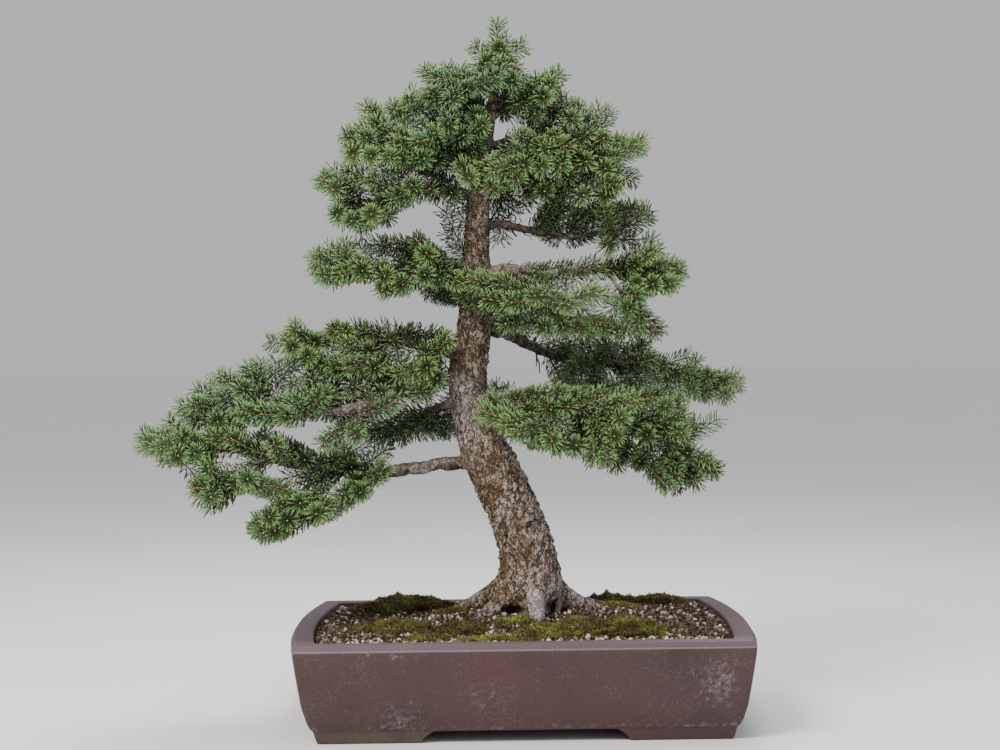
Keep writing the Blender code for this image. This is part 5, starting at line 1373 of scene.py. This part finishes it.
def mossCushion(place, rng):
    x0, y0, halfX, halfY, height, turn, green, greenRight = place
    look = mossLook
    cosTurn, sinTurn = math.cos(math.radians(turn)), math.sin(math.radians(turn))

    def lumps(x, y, z):
        return noise.noise(Vector((x, y, z)))

    def carried(direction):  # a point of the unit ball, onto the cushion
        x, y, z = direction
        around = lumps(x * 2.2 + x0, y * 2.2 + y0, 0.0)
        bumps = lumps(x * 4.0 - y0, y * 4.0, z + x0) + 0.6 * lumps(x * 9 + y0, y * 9, z)
        ragged = lumps(x * 7.0 + y0, y * 7.0 - x0, 3.0)
        torn = lumps(x * 15.0 - y0, y * 15.0 + x0, 7.0)
        wide = 1.0 + 0.3 * around + 0.3 * ragged + 0.16 * torn
        px, py = x * halfX * wide, y * halfY * wide
        humps = lumps(px * 0.11 + y0, py * 0.11, x0)
        placeX, placeY = x0 + px * cosTurn - py * sinTurn, y0 + px * sinTurn + py * cosTurn
        ground = float(soilLevel(placeX, placeY)) - look["foot"]
        if z < 0:
            return (placeX, placeY, ground + z * look["sunk"])
        return (placeX, placeY, ground + height * z ** 1.3 * (1.0 + 0.3 * bumps + 0.35 * humps))

    def tintsAt(points):  # greener or browner in patches, and towards the right
        toRight = np.clip((points[:, 0] - x0) / halfX * 0.5 + 0.5, 0, 1)
        patches = [lumps(x * 0.06, y * 0.06, x0) + 0.5 * lumps(x * 0.2, y * 0.2, y0) for x, y in points[:, :2]]
        return green + (greenRight - green) * toRight + look["tintWander"] * np.array(patches)

    ball, faces = ballPoints(bmesh.ops.create_uvsphere, u_segments=44, v_segments=20)
    skin = np.array([carried(direction) for direction in ball])
    skinTint = np.clip(tintsAt(skin), 0, 1)
    count = int(math.pi * halfX * halfY * look["tuftsPerArea"])
    angle = rng.uniform(0, 2 * math.pi, count)
    out = np.sqrt(rng.uniform(0, 1, count)) * 0.98
    stray = rng.uniform(0, 1, count) < look["strays"]
    out = np.where(stray, rng.uniform(0.92, 1.25, count), out)
    up = np.sqrt(np.maximum(0.0, 1 - out ** 2))
    directions = np.stack([out * np.cos(angle), out * np.sin(angle), up], 1)
    roots = np.array([carried(direction) for direction in directions])
    ground = soilLevel(roots[:, 0], roots[:, 1])
    roots[:, 2] = np.where(stray, ground + 0.2, np.maximum(roots[:, 2], ground - 1.0))
    leaning = np.stack([directions[:, 0] * 0.6, directions[:, 1] * 0.6, up + 0.35], 1)
    heading = unit(leaning + rng.normal(0, look["tuftLean"], (count, 3)))
    size = look["tuftHeight"] * rng.uniform(0.6, 1.35, count)
    across = unit(np.cross(heading, (1.0, 0.3, 0.0)))
    over = np.cross(heading, across)
    points = np.empty((count, 4, 3))
    for k, turned in enumerate(np.radians((0, 120, 240))):
        ring = across * math.cos(turned) + over * math.sin(turned)
        points[:, k] = roots - heading * 0.6 + ring * look["tuftRadius"]
    points[:, 3] = roots + heading * size[:, None]
    start = np.arange(count)[:, None] * 4
    tris = np.concatenate([start + np.array([[k, (k + 1) % 3, 3]]) for k in range(3)])
    tints = np.clip(tintsAt(roots) + rng.normal(0, look["tuftTint"], count), 0, 1)
    marks = {"along": np.tile([0.0, 0.0, 0.0, 1.0], count), "tint": np.repeat(tints, 4)}
    return ((skin, [], faces, {"along": np.full(len(skin), 0.1), "tint": skinTint}),
            (points.reshape(-1, 3), [], tris, marks))


def buildMoss(moss):
    rng = np.random.default_rng(31)
    pieces = []
    for name, place in mossPlaces.items():
        points, faces, marks = joined(mossCushion(place, rng))
        pieces.append(meshPiece("cushion_" + name, points, faces, moss, marks=marks))
        dress(pieces[-1], "moss", "moss_" + name)
    small = []
    for place in smallMoss:
        small += mossCushion(place, rng)
    points, faces, marks = joined(small)
    pieces.append(meshPiece("moss_small_clumps", points, faces, moss, marks=marks))
    dress(pieces[-1], "moss")
    return pieces


def insideOutline(u, v, inset):
    s = potSizes
    return np.stack([u * (s["halfX"] - inset + s["innerBow"] * (1 - v * v)), v * (s["halfY"] - inset)], -1)


def buildSoil(mix):
    s = soilSizes
    columns, rows, floor = s["columns"], s["rows"], s["floor"]
    u, v = np.meshgrid(np.linspace(-1, 1, columns), np.linspace(-1, 1, rows), indexing="ij")
    flat = insideOutline(u, v, s["inset"]).reshape(-1, 2)
    bumps = np.array([noise.noise(Vector((x * 0.25, y * 0.25, 0)))
                      + 0.6 * noise.noise(Vector((x * 0.06, y * 0.06, 5))) for x, y in flat])
    top = np.column_stack([flat, soilLevel(flat[:, 0], flat[:, 1]) - s["settled"] + s["roughness"] * bumps])
    index = np.arange(columns * rows).reshape(columns, rows)
    quads = np.stack([index[:-1, :-1], index[1:, :-1], index[1:, 1:], index[:-1, 1:]], -1).reshape(-1, 4)
    border = np.concatenate([index[:, 0], index[-1, 1:], index[-2::-1, -1], index[0, -2:0:-1]])
    below = np.column_stack([top[border, :2] * 0.985, np.full(len(border), floor)])
    k = np.arange(len(border))
    n = (k + 1) % len(border)
    lower = len(top) + k
    skirt = np.stack([border[n], border[k], lower[k], lower[n]], 1)
    points = np.concatenate([top, below, [[0, 0, floor]]])
    base = np.stack([lower[n], lower[k], np.full(len(k), len(points) - 1)], 1)
    bed = meshPiece("soil_bed", points, [np.concatenate([quads, skirt]), base], mix)
    dress(bed, "soil", "soil")
    return bed


grainLook = {
    "count": 4400, "smallest": 1.7, "largest": 5.2,     # mm
    "pale": 0.08, "paleFront": 0.3,                     # share of pumice, and how much more along the front rim
    "offTrunk": 41.0, "onMoss": 0.07, "lumpy": 0.14,
    "litter": 520, "litterLong": 10.5, "litterOffTrunk": 46.0,
}


def fromFrame(x, y, z):  # a place in millimetres, as the frame's metres
    return Vector(((x + potMiddle[0]) * 0.001, (y + potMiddle[1]) * 0.001, z * 0.001))


# Loose grains on the soil, each a small uneven stone, kept off the roots and the moss.
def buildGrains(mineral, wood):
    look = grainLook
    rng = np.random.default_rng(77)
    ball, faces = ballPoints(bmesh.ops.create_icosphere, subdivisions=1)
    tree = BVHTree.FromObject(wood, bpy.context.evaluated_depsgraph_get())
    parts = []
    while len(parts) < look["count"]:
        u, v = rng.uniform(-0.985, 0.985, 2)
        x, y = insideOutline(np.array(u), np.array(v), soilSizes["inset"] + 1.0)
        level = float(soilLevel(x, y))
        over = tree.ray_cast(fromFrame(x, y, 300), Vector((0, 0, -1)), 0.3 - (level - 2) * 0.001)[0]
        hidden = over is not None and over.z < 0.14
        if hidden or math.hypot(x - 10, y - 25) < look["offTrunk"]:
            continue
        covered = 0.0
        for x0, y0, halfX, halfY, *_ in list(mossPlaces.values()) + smallMoss:
            covered = max(covered, 1 - math.hypot((x - x0) / halfX, (y - y0) / halfY))
        if covered > 0.2 and rng.uniform() > look["onMoss"]:
            continue
        front = smoothStep(-95, -140, y)
        pale = rng.uniform() < look["pale"] + look["paleFront"] * front
        kind = rng.uniform(0.6, 1.0) if pale else rng.beta(1.7, 2.2) * 0.66
        size = rng.uniform(look["smallest"], look["largest"]) * 0.5 * (1.12 if pale else 0.95)
        lumps = 1 + rng.normal(0, look["lumpy"], len(ball))
        stretch = rng.uniform(0.75, 1.2, 3)
        spin = np.array(Matrix.Rotation(rng.uniform(0, 6.28), 3, Vector(unit(rng.normal(0, 1, 3)))))
        stone = (ball * lumps[:, None] * stretch) @ spin.T * size
        centre = np.array([x, y, level - 0.2 + rng.uniform(0.0, 1.4)])
        parts.append((stone + centre, [], faces, {"kind": np.full(len(ball), kind)}))
    points, meshFaces, marks = joined(parts)
    dress(meshPiece("loose_grains", points, meshFaces, mineral, smooth=False, marks=marks), "soil")


# Fallen needles and bits of twig, lying over the soil and the moss.
def buildLitter(dry, pieces):
    look = grainLook
    rng = np.random.default_rng(88)
    grounds = [BVHTree.FromObject(piece, bpy.context.evaluated_depsgraph_get()) for piece in pieces]
    parts = []
    while len(parts) < look["litter"]:
        u, v = rng.uniform(-0.96, 0.96, 2)
        x, y = insideOutline(np.array(u), np.array(v), soilSizes["inset"] + 3.0)
        turn, long = rng.uniform(0, 2 * math.pi), look["litterLong"] * rng.uniform(0.5, 1.1)
        ends = []
        for along in (-0.5, 0.0, 0.5):
            px, py = x + math.cos(turn) * long * along, y + math.sin(turn) * long * along
            hits = [tree.ray_cast(fromFrame(px, py, 135), Vector((0, 0, -1)), 0.05)[0] for tree in grounds]
            ends.append((px, py, max([hit.z * 1000 for hit in hits if hit is not None], default=0.0)))
        if min(end[2] for end in ends) < 90 or math.hypot(x - 10, y - 22) < look["litterOffTrunk"]:
            continue
        thick = rng.uniform(0.35, 0.6)
        path = np.array([(px, py, z + 0.5 + rng.uniform(0, 0.8), thick) for px, py, z in ends])
        parts.append((*tube(path, 3), {"kind": rng.uniform(0.15, 0.62)}))
    points, faces, marks = joined(parts)
    dress(meshPiece("fallen_needles", points, faces, dry, marks=marks), "soil")


# A seedling weed by the front root and one dead leaf on the moss.
def weedLeaf():
    material, tree, shader, where = newMaterial("seedling leaf", 0.5, 1.42, 0.4)
    patch = addNode(tree, "TexNoise", {"Vector": where, "Scale": perMm(4)})
    colour = addNode(tree, "ValToRGB", {"stops": [(0.35, "#4f6a22"), (0.65, "#86a13c")], "Fac": patch})
    feed(tree, shader, {"Base Color": colour})
    return material


plantLook = {
    "leaves": 16, "weedRoot": (-3.0, -18.0, 101.0), "width": (2.4, 3.8), "length": (4, 7), "cup": 0.25,     # mm
    "deadLeaf": ((-164.0, 66.0, 109.5), (0.9, 0.3, 0.5), 5.0, 9.0, 0.5),    # root, heading, width, length, cup
}


def leafPart(root, heading, width, length, cup):
    heading = unit(np.array(heading, float))
    side = unit(np.cross(heading, (0, 0, 1)))
    up = np.cross(side, heading)
    rows = []
    for t, w in ((0.0, 0.12), (0.25, 0.7), (0.55, 1.0), (0.85, 0.6), (1.0, 0.08)):
        centre = np.array(root) + heading * length * t - up * cup * length * t * t
        rows.append([centre - side * width * w * 0.5, centre + up * 0.15 * width, centre + side * width * w * 0.5])
    points = np.array(rows).reshape(-1, 3)
    quads = []
    for a in (0, 1, 3, 4, 6, 7, 9, 10):
        quads += [(a, a + 1, a + 4, a + 3), (a + 15, a + 18, a + 19, a + 16)]
    edge = [0, 1, 2, 5, 8, 11, 14, 13, 12, 9, 6, 3]
    quads += [(b, a, a + 15, b + 15) for a, b in zip(edge, edge[1:] + edge[:1])]
    return np.concatenate([points, points - up * 0.25]), np.array(quads), [], {}


# A seedling weed by the front root and one dead leaf on the moss.
def buildSmallPlants(leaf, dead):
    look = plantLook
    rng = np.random.default_rng(9)
    leaves = []
    for k in range(look["leaves"]):
        turn = k * 2.4
        rise = rng.uniform(0.15, 0.9)
        out = np.array([math.cos(turn), math.sin(turn), 0.5 * (k % 3)])
        root = np.array(look["weedRoot"]) + out * rng.uniform(0.5, 4.5)
        leaves.append(leafPart(root, (out[0], out[1], rise), rng.uniform(*look["width"]),
                               rng.uniform(*look["length"]), look["cup"]))
    for name, parts, material, slot in (("seedling_weed", leaves, leaf, "moss"),
                                        ("dead_leaf", [leafPart(*look["deadLeaf"])], dead, "bark")):
        points, faces, _ = joined(parts)
        dress(meshPiece(name, points, faces, material), slot)


bed = buildSoil(pottingMix())
cushions = buildMoss(livingMoss())
buildGrains(mineralGrains(), wood)
buildLitter(dryLitter(), [bed, *cushions])
buildSmallPlants(weedLeaf(), bark)
print("soil, moss and grains made")


stageLook = {
    "paper": [(0.3, "#f3f3f2"), (0.7, "#f7f7f6")], "paperSize": 160,        # m
    "horizon": "#e3e3e3", "back": "#e9e9ea", "skyStrength": 0.74,
    # where each softbox stands, what it points at (m), its size (m), its power (W) and its colour
    "softboxes": {
        "key softbox": ((-1.1, -1.4, 1.8), (0.03, 0.0, 0.35), (0.9, 0.7), 58.0, "#fffaf4"),
        "fill softbox": ((1.6, -1.1, 0.9), (0.03, 0.0, 0.35), (1.2, 1.2), 6.0, "#eef3ff"),
        "top softbox": ((0.2, 0.5, 1.9), (0.03, 0.0, 0.4), (0.9, 0.9), 24.0, "#ffffff"),
    },
}


def buildStage():
    look = stageLook
    floorMaterial, tree, shader, where = newMaterial("pale floor paper", 0.85, 1.45, 0.2)
    grain = addNode(tree, "TexNoise", {"Vector": where, "Scale": perMm(400)})
    feed(tree, shader, {"Base Color": addNode(tree, "ValToRGB", {"Fac": grain, "stops": look["paper"]})})
    bpy.ops.mesh.primitive_plane_add(size=look["paperSize"], location=(0, 0, -0.0004))
    floor = bpy.context.object
    floor.name = "floor"
    floor.data.materials.append(floorMaterial)
    world = bpy.data.worlds.new("soft room")
    bpy.context.scene.world = world
    world.use_nodes = True
    tree = world.node_tree
    # a little darker at the horizon, where it meets the floor without a line
    spot = addNode(tree, "SeparateXYZ", {"Vector": addNode(tree, "TexCoord").outputs["Generated"]})
    height = addNode(tree, "MapRange", {"Value": spot.outputs["Z"], "From Min": 0.0, "From Max": 0.5})
    shade = addNode(tree, "Mix", {"data_type": "RGBA", "Factor": height, "A": look["horizon"], "B": look["back"]})
    feed(tree, tree.nodes["Background"], {"Color": shade, "Strength": look["skyStrength"]})
    for name, (place, target, size, power, colour) in look["softboxes"].items():
        light = bpy.data.lights.new(name, "AREA")
        light.shape = "RECTANGLE"
        light.size, light.size_y = size
        light.energy = power
        light.color = hexToLinear(colour)[:3]
        obj = bpy.data.objects.new(name, light)
        obj.location = place
        obj.rotation_euler = (Vector(target) - Vector(place)).to_track_quat("-Z", "Y").to_euler()
        bpy.context.scene.collection.objects.link(obj)


def buildCamera():
    view = photoView
    yaw, pitch, roll = math.radians(view["yaw"]), math.radians(view["pitch"]), view["roll"]
    forward = Vector((math.sin(yaw) * math.cos(pitch), math.cos(yaw) * math.cos(pitch), -math.sin(pitch)))
    right = forward.cross(Vector((0, 0, 1))).normalized()
    up = right.cross(forward)
    tiltedUp = up * math.cos(roll) + right * math.sin(roll)
    tiltedRight = right * math.cos(roll) - up * math.sin(roll)
    data = bpy.data.cameras.new("photo view")
    data.sensor_width, data.lens = view["sensor"], view["lens"]
    data.clip_start, data.clip_end = 0.05, 400.0
    camera = bpy.data.objects.new("photo view", data)
    turned = Matrix((tiltedRight, tiltedUp, -forward)).transposed().to_4x4()
    place = (Vector(view["place"]) + Vector(potMiddle)) * 0.001
    camera.matrix_world = Matrix.Translation(place) @ turned
    bpy.context.scene.collection.objects.link(camera)
    bpy.context.scene.camera = camera


buildStage()
buildCamera()
print("stage, light and camera made")


# The two drain meshes keep their own shape: soft black polythene, a little scuffed.
def blackPolythene():
    material, tree, shader, where = newMaterial("black polythene mesh", 0.55, 1.51, 0.4)
    scuff = addNode(tree, "TexNoise", {"Vector": where, "Scale": perMm(6), "Detail": 4.0})
    colour = addNode(tree, "ValToRGB", {"Fac": scuff, "stops": [(0.4, "#151516"), (0.7, "#2a2a2c")]})
    feed(tree, shader, {"Base Color": colour})
    return material


polythene = blackPolythene()
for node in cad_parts.values():
    if not node.hide_render:
        node.data.materials.clear()
        node.data.materials.append(polythene)
